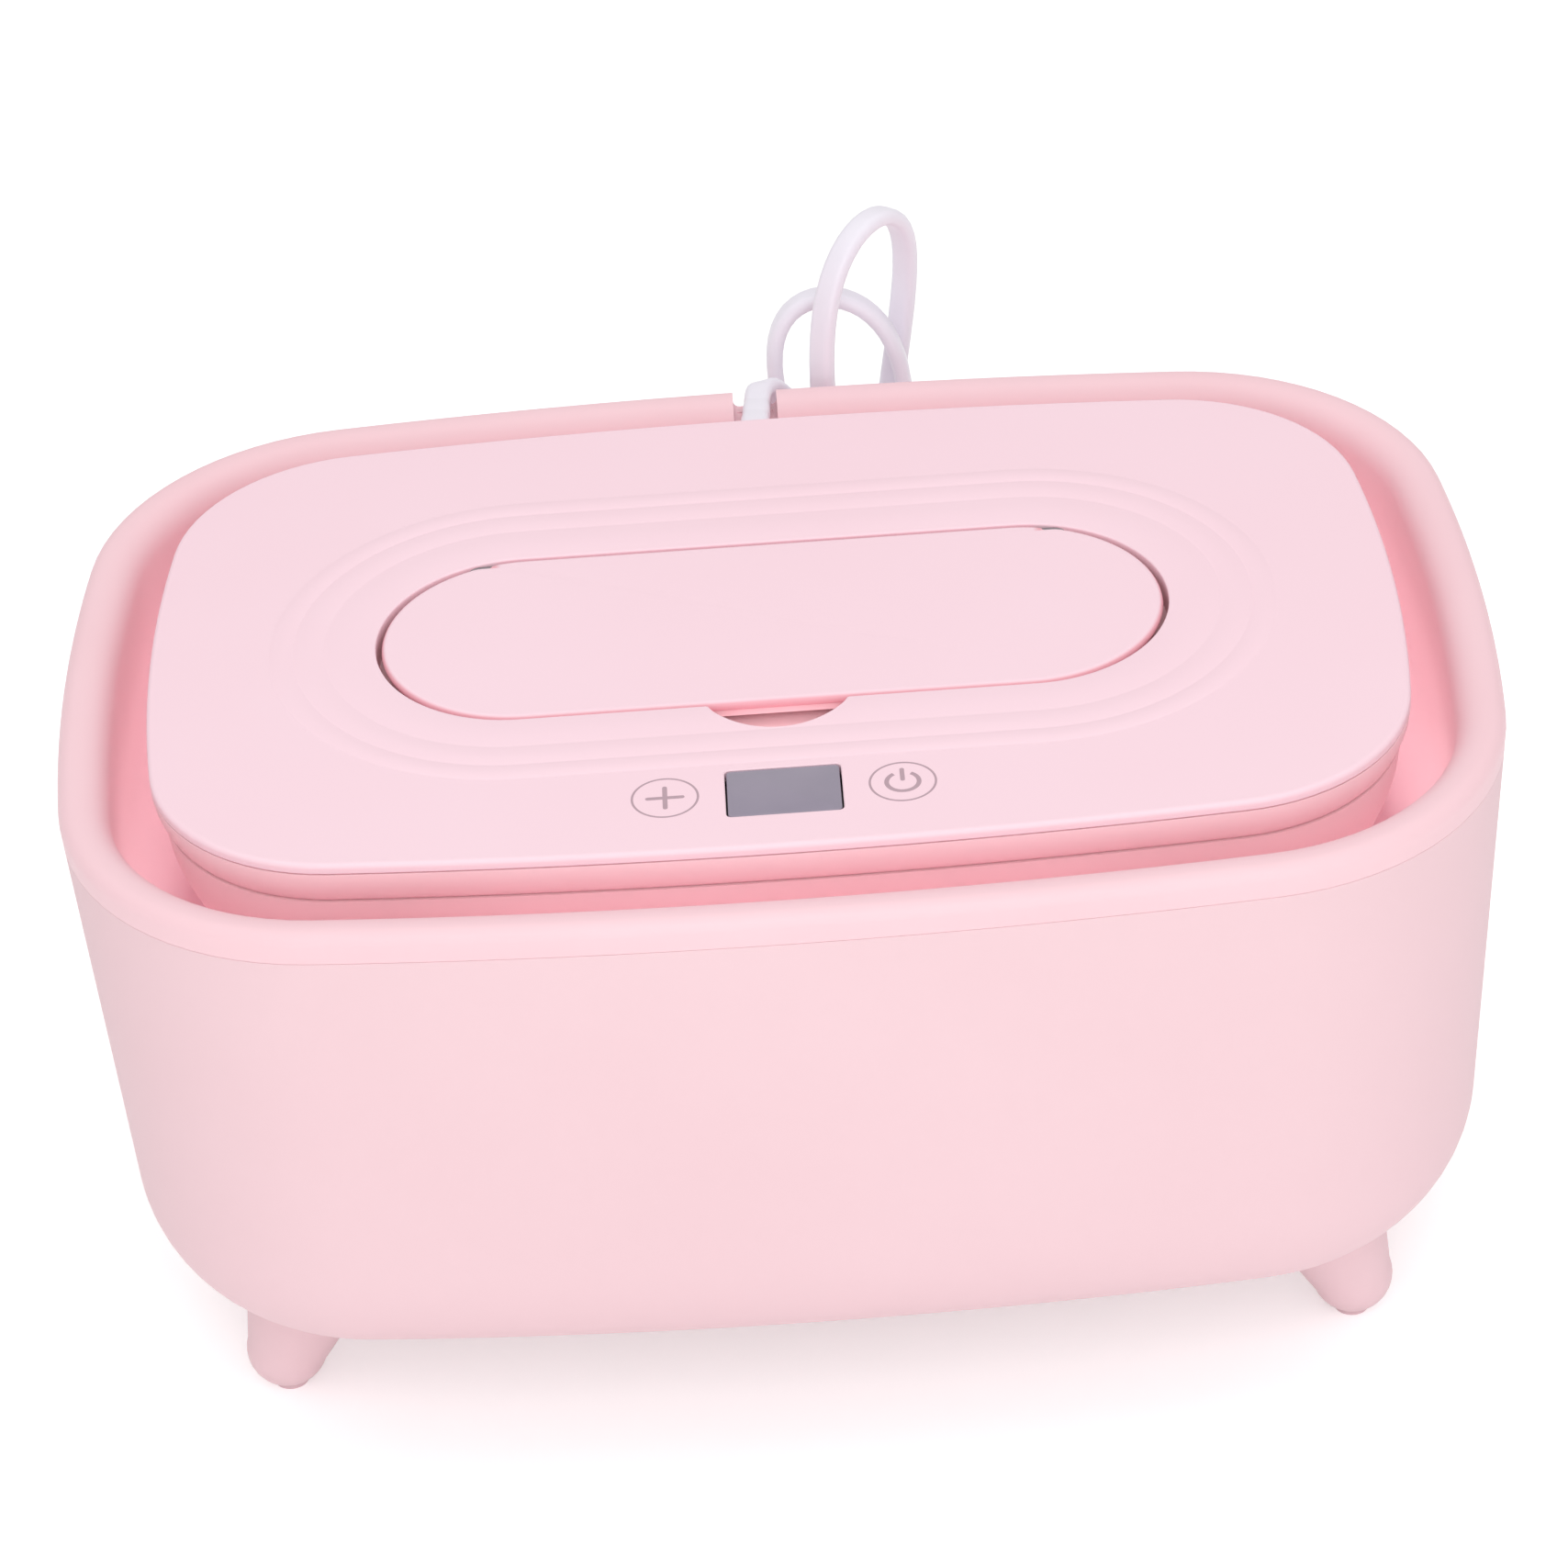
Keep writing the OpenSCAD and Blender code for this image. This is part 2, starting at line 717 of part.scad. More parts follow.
module heater_plate() {
  color([0.8, 0.81, 0.83])
    difference() {
      heater_layer(0, plate_z, plate_z + plate_t);
      stadium_block(throat_half_len, throat_half_wid, plate_z - 1, plate_z + plate_t + 1);
    }
}

film_z = plate_z + plate_t;
pad_foot_z = film_z + film_t;

module heating_film() {
  color([0.75, 0.45, 0.2])
    heater_layer(3, film_z, pad_foot_z);
}

module insulation_pad() {
  color([0.85, 0.85, 0.82])
    difference() {
      heater_layer(1, pad_foot_z, pan_under_z);
      sensor_places(sensor_r + 0.3, pad_foot_z - 1, pan_under_z + 1);
    }
}

sensor_x = 62;
sensor_y = 34;
sensor_r = 2.5;
sensor_h = 5.5;

module sensor_places(r, z_low, z_high) {
  for (side = [-1, 1])
    translate([side * sensor_x, sensor_y, 0])
      rod(r, z_low, z_high);
}

module temperature_sensor() {
  color([0.2, 0.2, 0.22])
    translate([-sensor_x, sensor_y, 0])
      rod(sensor_r, pad_foot_z, pad_foot_z + sensor_h);
}

module thermal_fuse() {
  color([0.85, 0.82, 0.7])
    translate([sensor_x, sensor_y, 0])
      rod(sensor_r, pad_foot_z, pad_foot_z + sensor_h);
}

// ---- Electronics ----

board_t = 1.6;
board_z = pan_z + 5;
board_top = board_z + board_t;
board_hole_gap = 5;      // from the end of a board to its screws
control_half_len = 38;
control_front = panel_y + 7.8;
control_wid = 25.5;
control_x = control_half_len - board_hole_gap;
control_y = control_front - control_wid + board_hole_gap;
power_half_len = 49;
power_front = lid_half_dep - 33.7;
power_wid = 17.5;
power_x = power_half_len - board_hole_gap;
power_y = power_front + board_hole_gap - 1;
coil_len = 18;           // transformer at the left of the power board
coil_wid = 14;
coil_h = 7;
coil_x = -27;
relay_len = 14;          // relay, low enough to lie under the lead
relay_wid = 12;
relay_h = 4;
relay_x = -1;
can_r = 5;               // capacitor
can_h = 7;
can_x = 24;

module board_places(x, y) {
  for (side = [-1, 1])
    translate([side * x, y, 0])
      children();
}

module control_board() {
  color([0.1, 0.42, 0.25])
    difference() {
      block(-control_half_len, control_half_len, -control_front, -control_front + control_wid,
            board_z, board_top);
      board_places(control_x, -control_y)
        rod(m2_r + 0.15, board_z - 1, board_top + 1);
    }
}

module power_board() {
  color([0.1, 0.42, 0.25])
    difference() {
      block(-power_half_len, power_half_len, power_front, power_front + power_wid, board_z,
            board_top);
      board_places(power_x, power_y)
        rod(m2_r + 0.15, board_z - 1, board_top + 1);
    }
}

module power_parts() {
  y = power_front + power_wid / 2;
  color([0.25, 0.3, 0.4]) {
    block(coil_x - coil_len / 2, coil_x + coil_len / 2, y - coil_wid / 2, y + coil_wid / 2,
          board_top, board_top + coil_h);
    block(relay_x - relay_len / 2, relay_x + relay_len / 2, y - relay_wid / 2,
          y + relay_wid / 2, board_top, board_top + relay_h);
  }
  color([0.2, 0.2, 0.25])
    translate([can_x, y, 0])
      rod(can_r, board_top, board_top + can_h);
}

module board_screws() {
  color([0.75, 0.76, 0.78]) {
    board_places(control_x, -control_y)
      screw(m2_r, m2_head_r, m2_head_h, board_top, board_z - 5);
    board_places(power_x, power_y)
      screw(m2_r, m2_head_r, m2_head_h, board_top, board_z - 5);
  }
}

window_flange = 1.2;     // thickness of the rim glued under the cover
window_rim = 1;          // and how far it reaches past the cut-out

module display_module() {
  margin = 0.5;
  color([0.15, 0.15, 0.17])
    block(-display_half_len - margin, display_half_len + margin,
          -panel_y - display_half_wid - margin, -panel_y + display_half_wid + margin,
          board_top, cover_z - window_flange - 0.1);
}

module display_window() {
  color([0.62, 0.59, 0.66]) {
    block(-display_half_len + slip, display_half_len - slip,
          -panel_y - display_half_wid + slip, -panel_y + display_half_wid - slip,
          cover_z - eps, lid_z - 0.05);
    block(-display_half_len - window_rim, display_half_len + window_rim,
          -panel_y - display_half_wid - window_rim, -panel_y + display_half_wid + window_rim,
          cover_z - window_flange, cover_z);
  }
}

module key_pads() {
  color([0.3, 0.3, 0.32])
    for (side = [-1, 1])
      translate([side * key_x, -panel_y, 0])
        rod(key_r - 1, board_top, cover_z);
}

module lid_screws() {
  color([0.75, 0.76, 0.78])
    lid_screw_places()
      screw(m3_r, m3_head_r, m3_head_h - 0.4, pan_under_z, cover_z);
}

// ---- Flap ----

edge_r = flap_t / 2;

module flip_lid() {
  rings = [for (i = [0:6])
             let (a = -90 + 30 * i)
             [edge_r * (1 - cos(a)), hinge_z + edge_r * sin(a)]];
  color([0.98, 0.86, 0.89])
    difference() {
      union() {
        translate([0, -flap_setback, 0])
          loft([for (r = rings)
                  at_height(stadium_plan(flap_half_len - r[0], flap_half_wid - r[0]), r[1])]);
        stake_places()
          rod(stake_r, hinge_z - edge_r - flap_inner_t - 0.2, hinge_z);
      }
      pin_line(pin_r + slip, pin_in - 0.2, knuckle_x + pin_cut);
      flap_corner_relief();
    }
}

// Bevel at the rear corners of the flap, so that it can stand upright in its opening
module flap_corner_relief() {
  relief_in = flap_half_len - 21.2;
  for (side = [-1, 1])
    scale([side, 1, 1])
      translate([0, hinge_y + 3, 0])
        rotate([90, 0, 0])
          linear_extrude(4.3)
            polygon([[relief_in, hinge_z + 1], [relief_in + 6, hinge_z - 0.75],
                     [relief_in + 11.6, hinge_z - 0.75], [relief_in + 11.6, hinge_z + 2],
                     [relief_in, hinge_z + 2]]);
}

stake_r = 1.2;

module stake_places() {
  for (x = [-45, 0, 45], y = [-10, 9])
    translate([x, y, 0])
      children();
}

module flip_inner_panel() {
  top = lid_z - flap_t - 0.1;
  inset = 1.3;
  color([0.96, 0.78, 0.82])
    difference() {
      stadium_block(flap_half_len - inset, flap_half_wid - inset, top - flap_inner_t, top);
      stake_places()
        rod(stake_r + slip, top - flap_inner_t - 1, top + 1);
    }
}

module flip_seal() {
  top = lid_z - flap_t - 0.1 - flap_inner_t;
  foot = well_z + seal_lip_h + 0.3;
  color([0.93, 0.9, 0.92])
    difference() {
      stadium_block(seal_half_len + 0.6, seal_half_wid + 0.6, foot, top);
      stadium_block(seal_half_len - seal_t, seal_half_wid - seal_t, foot - 1, top + 1);
    }
}

module hinge_pins() {
  color([0.8, 0.81, 0.83])
    pin_line(pin_r, pin_in, pin_out);
}

// ---- Lead ----

relief_w = 5.6;          // width of the strain relief at the wall
relief_h = 4.2;          // height of the strain relief at the wall
relief_z = rim_z - 1.75; // centre height of the strain relief
relief_x = -1.2;
relief_turn = -5;        // it points a little to the right of straight back
relief_out = 14;         // length outside the lid
relief_y = lid_half_dep - 2.6;
relief_flange = 1.6;     // thickness and width of its head inside the wall
relief_flange_w = relief_w + 3;

module relief_frame() {
  translate([relief_x, relief_y, relief_z])
    rotate([0, 0, relief_turn])
      children();
}

module relief_hole() {
  relief_frame() {
    block(-relief_w / 2 - 0.15, relief_w / 2 + 0.15, -2, 6, -relief_h / 2 - 0.15,
          relief_h / 2 + 0.15);
    block(-relief_flange_w / 2 - 0.2, relief_flange_w / 2 + 0.2, -relief_flange - 2, slip,
          -relief_h / 2 - 0.35, relief_h / 2 + 0.35);
  }
}

// Eight corners of a flat section, width along u, thickness along v
function flat_section(w, t, k) =
  [[w / 2, t / 2 - k], [w / 2 - k, t / 2], [-w / 2 + k, t / 2], [-w / 2, t / 2 - k],
   [-w / 2, -t / 2 + k], [-w / 2 + k, -t / 2], [w / 2 - k, -t / 2], [w / 2, -t / 2 + k]];

// Rings of a flat tube: centres, width directions and the section's size at each ring
function unit(v) = v / norm(v);

function tangent(path, i) =
  unit(path[min(i + 1, len(path) - 1)] - path[max(i - 1, 0)]);

function placed(section, centre, tangent_dir, width_dir) =
  let (u = unit(width_dir - (width_dir * tangent_dir) * tangent_dir),
       v = cross(tangent_dir, u))
  [for (s = section) centre + s.x * u + s.y * v];

module flat_tube(path, widths, sections) {
  rings = [for (i = [0:len(path) - 1])
             placed(sections[i], path[i], tangent(path, i), widths[i])];
  n = len(rings[0]);
  count = len(rings);
  sides = [for (j = [0:count - 2], i = [0:n - 1])
             let (a = j * n + i, b = (j + 1) * n + i, c = (j + 1) * n + (i + 1) % n,
                  d = j * n + (i + 1) % n)
             each [[a, b, c], [a, c, d]]];
  polyhedron([for (ring = rings) each ring],
             concat(sides, [[for (i = [0:n - 1]) i],
                            [for (i = [n - 1:-1:0]) (count - 1) * n + i]]));
}

relief_wall_y = 2.9;     // from its head to the outside of the lid
relief_tip_w = 5.2;
relief_tip_h = 3.5;
relief_ribs = 3;
relief_groove = 0.5;

module strain_relief() {
  wall_y = relief_wall_y;
  steps = 2 * relief_ribs + 1;
  ys = concat([-relief_flange, -eps, 0, wall_y],
              [for (i = [0:steps]) wall_y + 1 + (relief_out - 1) * i / steps]);
  size = [for (i = [0:len(ys) - 1])
            i < 2 ? [relief_flange_w, relief_h]
            : i < 4 ? [relief_w, relief_h]
            : let (u = (i - 4) / steps, groove = i % 2 == 1 && i < len(ys) - 1 ? relief_groove : 0)
              [relief_w + (relief_tip_w - relief_w) * u - groove,
               relief_h + (relief_tip_h - relief_h) * u - groove]];
  color([0.94, 0.94, 0.97])
    relief_frame()
      flat_tube([for (y = ys) [0, y, 0]], [for (y = ys) [-1, 0, 0]],
                [for (s = size) flat_section(s[0], s[1], 1)]);
}

inner_len = 20;

module inner_lead() {
  color([0.94, 0.94, 0.97])
    relief_frame()
      flat_tube([[0, -relief_flange - inner_len, 0], [0, -relief_flange, 0]],
                [[-1, 0, 0], [-1, 0, 0]],
                [for (i = [0, 1]) flat_section(lead_w, lead_t, 0.9)]);
}

clamp_y = lid_half_dep - 12.7;
clamp_half_len = 12;
clamp_half_wid = 3;
clamp_screw_x = 8;
clamp_floor = 1.8;

module cord_clamp() {
  low = relief_z - lead_t / 2 - clamp_floor;
  top = relief_z + lead_t / 2 + 0.1;
  color([0.9, 0.88, 0.9])
    difference() {
      block(relief_x - clamp_half_len, relief_x + clamp_half_len, clamp_y - clamp_half_wid,
            clamp_y + clamp_half_wid, low, top);
      block(relief_x - lead_w / 2 - 1.6, relief_x + lead_w / 2 + 0.3, 0, 100,
            relief_z - lead_t / 2 - 0.05, top + 1);
      for (side = [-1, 1])
        translate([relief_x + side * clamp_screw_x, clamp_y, 0])
          rod(m2_r + 0.1, low - 1, top + 1);
    }
}

module clamp_screws() {
  top = relief_z + lead_t / 2 + 0.1;
  color([0.75, 0.76, 0.78])
    for (side = [-1, 1])
      translate([relief_x + side * clamp_screw_x, clamp_y, 0])
        screw(m2_r, m2_head_r, m2_head_h, relief_z - lead_t / 2 - clamp_floor, top);
}

// The tip of the strain relief, where the free lead starts
relief_dir = [sin(-relief_turn), cos(relief_turn), 0];
relief_tip = [relief_x, relief_y, relief_z] + (relief_wall_y + relief_out) * relief_dir;

hank_x = 19;
hank_y = tub_half_dep + 14.6;
waist_z = 78;

// Places given from the hank's axis and the floor
function from_hank(places) = [for (p = places) [hank_x + p.x, hank_y + p.y, p.z]];

// Places of the free lead after the strain relief
lead_route = from_hank([[-18.1, -13, 127.3], [-16.8, -10.6, 126.2], [-15.1, -8.4, 123.8],
                        [-13.2, -6.5, 120.4], [-11.1, -5.1, 116.2], [-9, -4.2, 111.8],
                        [-7, -3.5, 107.4], [-4.5, -2.4, 102], [-1.8, -0.9, 96.8],
                        [0, 0, 91.2], [0, 0, 86]]);

module power_lead() {
  path = concat([relief_tip, relief_tip + 2 * relief_dir], lead_route);
  last = len(path) - 1;
  color([0.94, 0.94, 0.97])
    flat_tube(path, [for (i = [0:last]) [-cos(90 * i / last), -sin(90 * i / last), 0]],
              [for (p = path) flat_section(lead_w, lead_t, 0.9)]);
}

// One end loop of the hank: it leaves the waist at angle a0 and radius r0, rises or falls by
// height, spreads to half width wide in the plane at angle az, and comes back at a1 and r1
function loop_point(u, a0, r0, a1, r1, az, dir, height, wide, lean, shift) =
  let (s = sin(180 * u),
       c = cos(180 * u),
       r = u < 0.5 ? r0 : r1,
       v = height * pow(s, 0.55),
       l = c * (r + (wide - r) * pow(s, 0.7)),
       slot = u < 0.5 ? a0 : a1 - 180,
       a = az + (slot - az) * (1 - pow(s, 0.6)),
       k = pow(v / height, 2))
  [[hank_x + l * cos(a) + lean.x * k + shift.x * s,
    hank_y + l * sin(a) + lean.y * k + shift.y * s, waist_z + dir * v],
   [-sin(a), cos(a), 0]];

function loop_points(l, steps) =
  [for (i = [0:steps - 1]) loop_point(i / steps, l[0], l[1], l[2], l[3], l[4], l[5], l[6], l[7],
                                      l[8], l[9])];

// a0, r0, a1, r1, az, dir, height, wide, lean, shift
hank_loops = [[150, 0, 300, hank_r, 150, -1, 65, 10.5, [0, 0], [0, 0]],
              [-60, hank_r, 120, hank_r, -45, 1, 36, 16, [0, 0], [0, 0]],
              [120, hank_r, 360, hank_r, 150, -1, 70.6, 18.5, [0, 0], [0, 0]],
              [0, hank_r, 180, hank_r, 0, 1, 57, 19, [-2, 6], [-2.5, 2]],
              [180, hank_r, 420, hank_r, 210, -1, 75.6, 16.5, [0, 0], [0, 0]],
              [60, hank_r, 240, hank_r, 48, 1, 76, 21.5, [3, 3], [2.3, 0]]];

loop_steps = 12;
last_slot = 240;
hank_exit = [hank_x + hank_r * cos(last_slot), hank_y + hank_r * sin(last_slot), waist_z];
exit_width = [-sin(last_slot), cos(last_slot), 0];
exit_run = 5;

// Centres and width directions: middle strand, the loops in turn, and the strand that leaves
function hank_centres(steps) =
  concat([[[hank_x, hank_y, lead_route[len(lead_route) - 1].z], [0, 1, 0]],
          [[hank_x, hank_y, waist_z + 4], [0, 1, 0]]],
         [for (k = [0:len(hank_loops) - 1])
            each [for (p = loop_points(hank_loops[k], steps))
                    [p[0], p[1] * (k % 2 == 0 ? 1 : -1)]]],
         [[hank_exit, exit_width], [hank_exit - [0, 0, exit_run], exit_width]]);

// Six corners of the flat section
function hank_section() =
  let (k = lead_w / 2 - 0.9)
  [[lead_w / 2, 0], [k, lead_t / 2], [-k, lead_t / 2],
   [-lead_w / 2, 0], [-k, -lead_t / 2], [k, -lead_t / 2]];

// Least distance between corners of rings that lie apart along the lead
function least_gap(centres, skip) =
  let (path = [for (c = centres) c[0]],
       rings = [for (i = [0:len(path) - 1])
                  placed(hank_section(), path[i], tangent(path, i), centres[i][1])])
  min([for (i = [0:len(path) - 1 - skip], j = [i + skip:len(path) - 1])
         norm(path[i] - path[j]) < 9
           ? min([for (p = rings[i], q = rings[j]) norm(p - q)]) : 9]);

module lead_hank() {
  centres = hank_centres(loop_steps);
  echo(least_gap_in_hank = least_gap(hank_centres(2 * loop_steps), 5));
  color([0.94, 0.94, 0.97])
    flat_tube([for (c = centres) c[0]], [for (c = centres) c[1]],
              [for (c = centres) hank_section()]);
}

// Places of the lead from under the tie to the plug on the floor
plug_route = from_hank([[-3.8, -7.3, 61], [-4.4, -9.2, 53], [-5.4, -10.8, 45],
                        [-7, -12.2, 36.5], [-9.5, -13, 27.5], [-14.5, -12.5, 18.5],
                        [-21, -10.5, 11], [-29, -7, 6], [-37.5, -3, 3.6], [-45, 0.5, 4.2],
                        [-50.5, 2.3, 6.3], [-55.5, 2.5, 7.5], [-61, 2.5, 7.5]]);

module plug_lead() {
  path = concat([for (run = [exit_run, exit_run + lead_w]) hank_exit - [0, 0, run]],
                plug_route);
  last = len(path) - 1;
  color([0.94, 0.94, 0.97])
    flat_tube(path, [for (i = [0:last])
                       let (a = -30 - 60 * max(0, min(1, (i - 1) / 7)))
                       [cos(a), sin(a), 0]],
              [for (p = path) flat_section(lead_w, lead_t, 0.9)]);
}

tie_in = 9;
tie_t = 1.1;

module hank_tie() {
  color([0.9, 0.9, 0.92])
    translate([hank_x, hank_y, 0])
      difference() {
        rod(tie_in + tie_t, waist_z - tie_h / 2, waist_z + tie_h / 2);
        rod(tie_in, waist_z - tie_h, waist_z + tie_h);
      }
}

plug_w = 22;
plug_h = 14;
blade_pitch = 12.7;
blade_w = 6.3;
blade_t = 1.5;
blade_len = 16;

// Distance along the plug from the lead, width and height of its moulding
plug_profile = [[0, 6.6, 4.8], [5, 7.2, 5.6], [10, 9, 7], [11.5, 14, 10], [15, 20, 13],
                [20, plug_w, plug_h], [29, plug_w, plug_h], [31, plug_w - 2, plug_h - 2]];

module plug_body() {
  start = plug_route[len(plug_route) - 1];
  color([0.94, 0.94, 0.97])
    flat_tube([for (p = plug_profile) start - [p[0], 0, 0]],
              [for (p = plug_profile) [0, -1, 0]],
              [for (p = plug_profile) flat_section(p[1], p[2], p[2] / 4)]);
}

module plug_pins() {
  start = plug_route[len(plug_route) - 1];
  face = start.x - plug_profile[len(plug_profile) - 1][0];
  color([0.8, 0.81, 0.83])
    for (side = [-1, 1])
      block(face - blade_len, face, start.y + side * blade_pitch / 2 - blade_t / 2,
            start.y + side * blade_pitch / 2 + blade_t / 2, start.z - blade_w / 2,
            start.z + blade_w / 2);
}

outer_shell();
inner_liner();
leg_front_left();
leg_front_right();
leg_rear_left();
leg_rear_right();
leg_screws();
foot_pads();
shell_screws();
lid_cover();
lid_mid_shell();
lid_base();
flip_well();
throat_gasket();
heater_plate();
heating_film();
insulation_pad();
temperature_sensor();
thermal_fuse();
control_board();
power_board();
power_parts();
board_screws();
display_module();
display_window();
key_pads();
hinge_pins();
lid_screws();
cord_clamp();
clamp_screws();
inner_lead();
strain_relief();
power_lead();
lead_hank();
hank_tie();
plug_lead();
plug_body();
plug_pins();
flip_lid();
flip_inner_panel();
flip_seal();
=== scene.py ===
"""A baby wipe warmer: a bowed pink tub on four splayed feet, under a heated lift-off lid with a
hinged dispensing flap. Sizes are in millimetres; each mesh is made in metres."""

import math

import bmesh
import bpy
from mathutils import Matrix, Vector


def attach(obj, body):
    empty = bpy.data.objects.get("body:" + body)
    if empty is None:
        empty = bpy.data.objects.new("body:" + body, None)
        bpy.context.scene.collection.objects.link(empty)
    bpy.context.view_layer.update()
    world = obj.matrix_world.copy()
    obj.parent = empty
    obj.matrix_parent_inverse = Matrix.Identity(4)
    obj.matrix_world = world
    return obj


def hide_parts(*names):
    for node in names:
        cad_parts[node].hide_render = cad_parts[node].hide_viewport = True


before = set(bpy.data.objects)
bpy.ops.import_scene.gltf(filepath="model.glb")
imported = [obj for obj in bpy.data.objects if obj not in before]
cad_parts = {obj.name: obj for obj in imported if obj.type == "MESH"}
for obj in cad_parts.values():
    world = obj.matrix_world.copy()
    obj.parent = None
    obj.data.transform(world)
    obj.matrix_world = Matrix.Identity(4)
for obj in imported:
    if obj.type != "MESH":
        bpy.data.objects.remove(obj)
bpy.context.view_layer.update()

# ---- Outer shell ----
# The tub's outside wall is one injection moulding in pale pink polypropylene with a fine eroded
# grain. It leans in towards a rounded underside, and a thin tongue round its top edge goes up
# inside the liner's rim. Four screws come in from below, in counterbores.
MM = 0.001
tub_half_len = 126.9
tub_half_dep = 86.4
tub_short_r = 388
tub_long_r = 900
tub_corner_r = 49.3
tub_h = 103.75
wall_draft = 5.05
base_z = 25.5
rim_z = base_z + tub_h
rim_band_h = 5.75
joint_z = rim_z - rim_band_h
shell_wall = 2.4
shell_floor = 2.5
base_round_len = 22
base_round_h = 26
side_steps = 8
corner_steps = 16
crease_angle = math.radians(32)


def arc(centre, radius, start, end, steps):
    """Points in plan along an arc, both ends included; angles in radians."""
    turn = (end - start) / steps
    return [
        (
            centre[0] + radius * math.cos(start + turn * i),
            centre[1] + radius * math.sin(start + turn * i),
        )
        for i in range(steps + 1)
    ]


def mirrored(quarter):
    """A whole outline from its first quarter, anticlockwise."""
    back = quarter[-2:0:-1]
    return (
        quarter
        + [(-x, y) for x, y in back]
        + [(-x, -y) for x, y in quarter]
        + [(x, -y) for x, y in back]
    )


def bowed_plan(half_len, half_dep, short_r, long_r, corner_r, inset):
    """Outline of bowed sides with tangent corner arcs, drawn in by inset."""
    short_c = Vector((half_len - short_r, 0))
    long_c = Vector((0, half_dep - long_r))
    near = short_r - corner_r
    far = long_r - corner_r
    apart = (long_c - short_c).length
    along = (long_c - short_c) / apart
    t = (near**2 - far**2 + apart**2) / (2 * apart)
    corner_c = short_c + t * along + math.sqrt(near**2 - t**2) * Vector((-along.y, along.x))
    first = math.atan2(corner_c.y, corner_c.x - short_c.x)
    second = math.atan2(corner_c.y - long_c.y, corner_c.x)
    return mirrored(
        arc(short_c, short_r - inset, 0, first, side_steps)[:-1]
        + arc(corner_c, corner_r - inset, first, second, corner_steps)[:-1]
        + arc(long_c, long_r - inset, second, math.pi / 2, side_steps)
    )


def tub_ring(inset, z):
    plan = bowed_plan(tub_half_len, tub_half_dep, tub_short_r, tub_long_r, tub_corner_r, inset)
    return [(x, y, z) for x, y in plan]


def piece(name, points, faces):
    """A smooth-shaded mesh object from points in millimetres."""
    mesh = bpy.data.meshes.new(name)
    mesh.from_pydata([Vector(p) * MM for p in points], [], faces)
    made = bpy.data.objects.new(name, mesh)
    bpy.context.scene.collection.objects.link(made)
    return shaded(made)


def shaded(made):
    """Smooth shading that stays sharp where faces meet at more than the crease angle."""
    made.data.shade_smooth()
    made.data.set_sharp_from_angle(angle=crease_angle)
    return made


def loft(name, rings, closed=False):
    """A skin through rings of equal count, anticlockwise about the way they run; ends capped."""
    count = len(rings[0])
    faces = []
    for j in range(len(rings) if closed else len(rings) - 1):
        low = j * count
        high = (j + 1) % len(rings) * count
        for i in range(count):
            k = (i + 1) % count
            faces.append((low + i, low + k, high + k, high + i))
    if not closed:
        last = (len(rings) - 1) * count
        faces.append(tuple(reversed(range(count))))
        faces.append(tuple(range(last, last + count)))
    return piece(name, [p for ring in rings for p in ring], faces)


def turned(name, profile, at=(0, 0), steps=48):
    """A turned form about a vertical axis, from (radius, z) pairs given upwards."""
    return loft(
        name,
        [[(x, y, z) for x, y in arc(at, r, 0, 2 * math.pi, steps)[:-1]] for r, z in profile],
    )


def prism(name, outline, along, start, end):
    """An outline pushed along axis 0, 1 or 2; its pairs lie on the next two axes in turn."""
    area = sum(p[0] * q[1] - q[0] * p[1] for p, q in zip(outline, outline[1:] + outline[:1]))
    if area < 0:
        outline = outline[::-1]
    rings = []
    for place in (start, end):
        ring = []
        for u, v in outline:
            point = [0, 0, 0]
            point[along] = place
            point[(along + 1) % 3] = u
            point[(along + 2) % 3] = v
            ring.append(point)
        rings.append(ring)
    return loft(name, rings)


def joined(body, tool, how):
    """Adds the tool to the body with UNION, or cuts it away with DIFFERENCE."""
    step = body.modifiers.new("tool", "BOOLEAN")
    step.operation = how
    step.solver = "EXACT"
    step.object = tool
    graph = bpy.context.evaluated_depsgraph_get()
    made = bpy.data.meshes.new_from_object(body.evaluated_get(graph))
    body.modifiers.clear()
    body.data = made
    bpy.data.objects.remove(tool)
    shaded(body)


def linear(red, green, blue):
    """A colour on the 0 to 255 scale of a screen, as the values that a shader takes."""
    shares = [c / 255 for c in (red, green, blue)]
    return [s / 12.92 if s < 0.04045 else ((s + 0.055) / 1.055) ** 2.4 for s in shares] + [1]


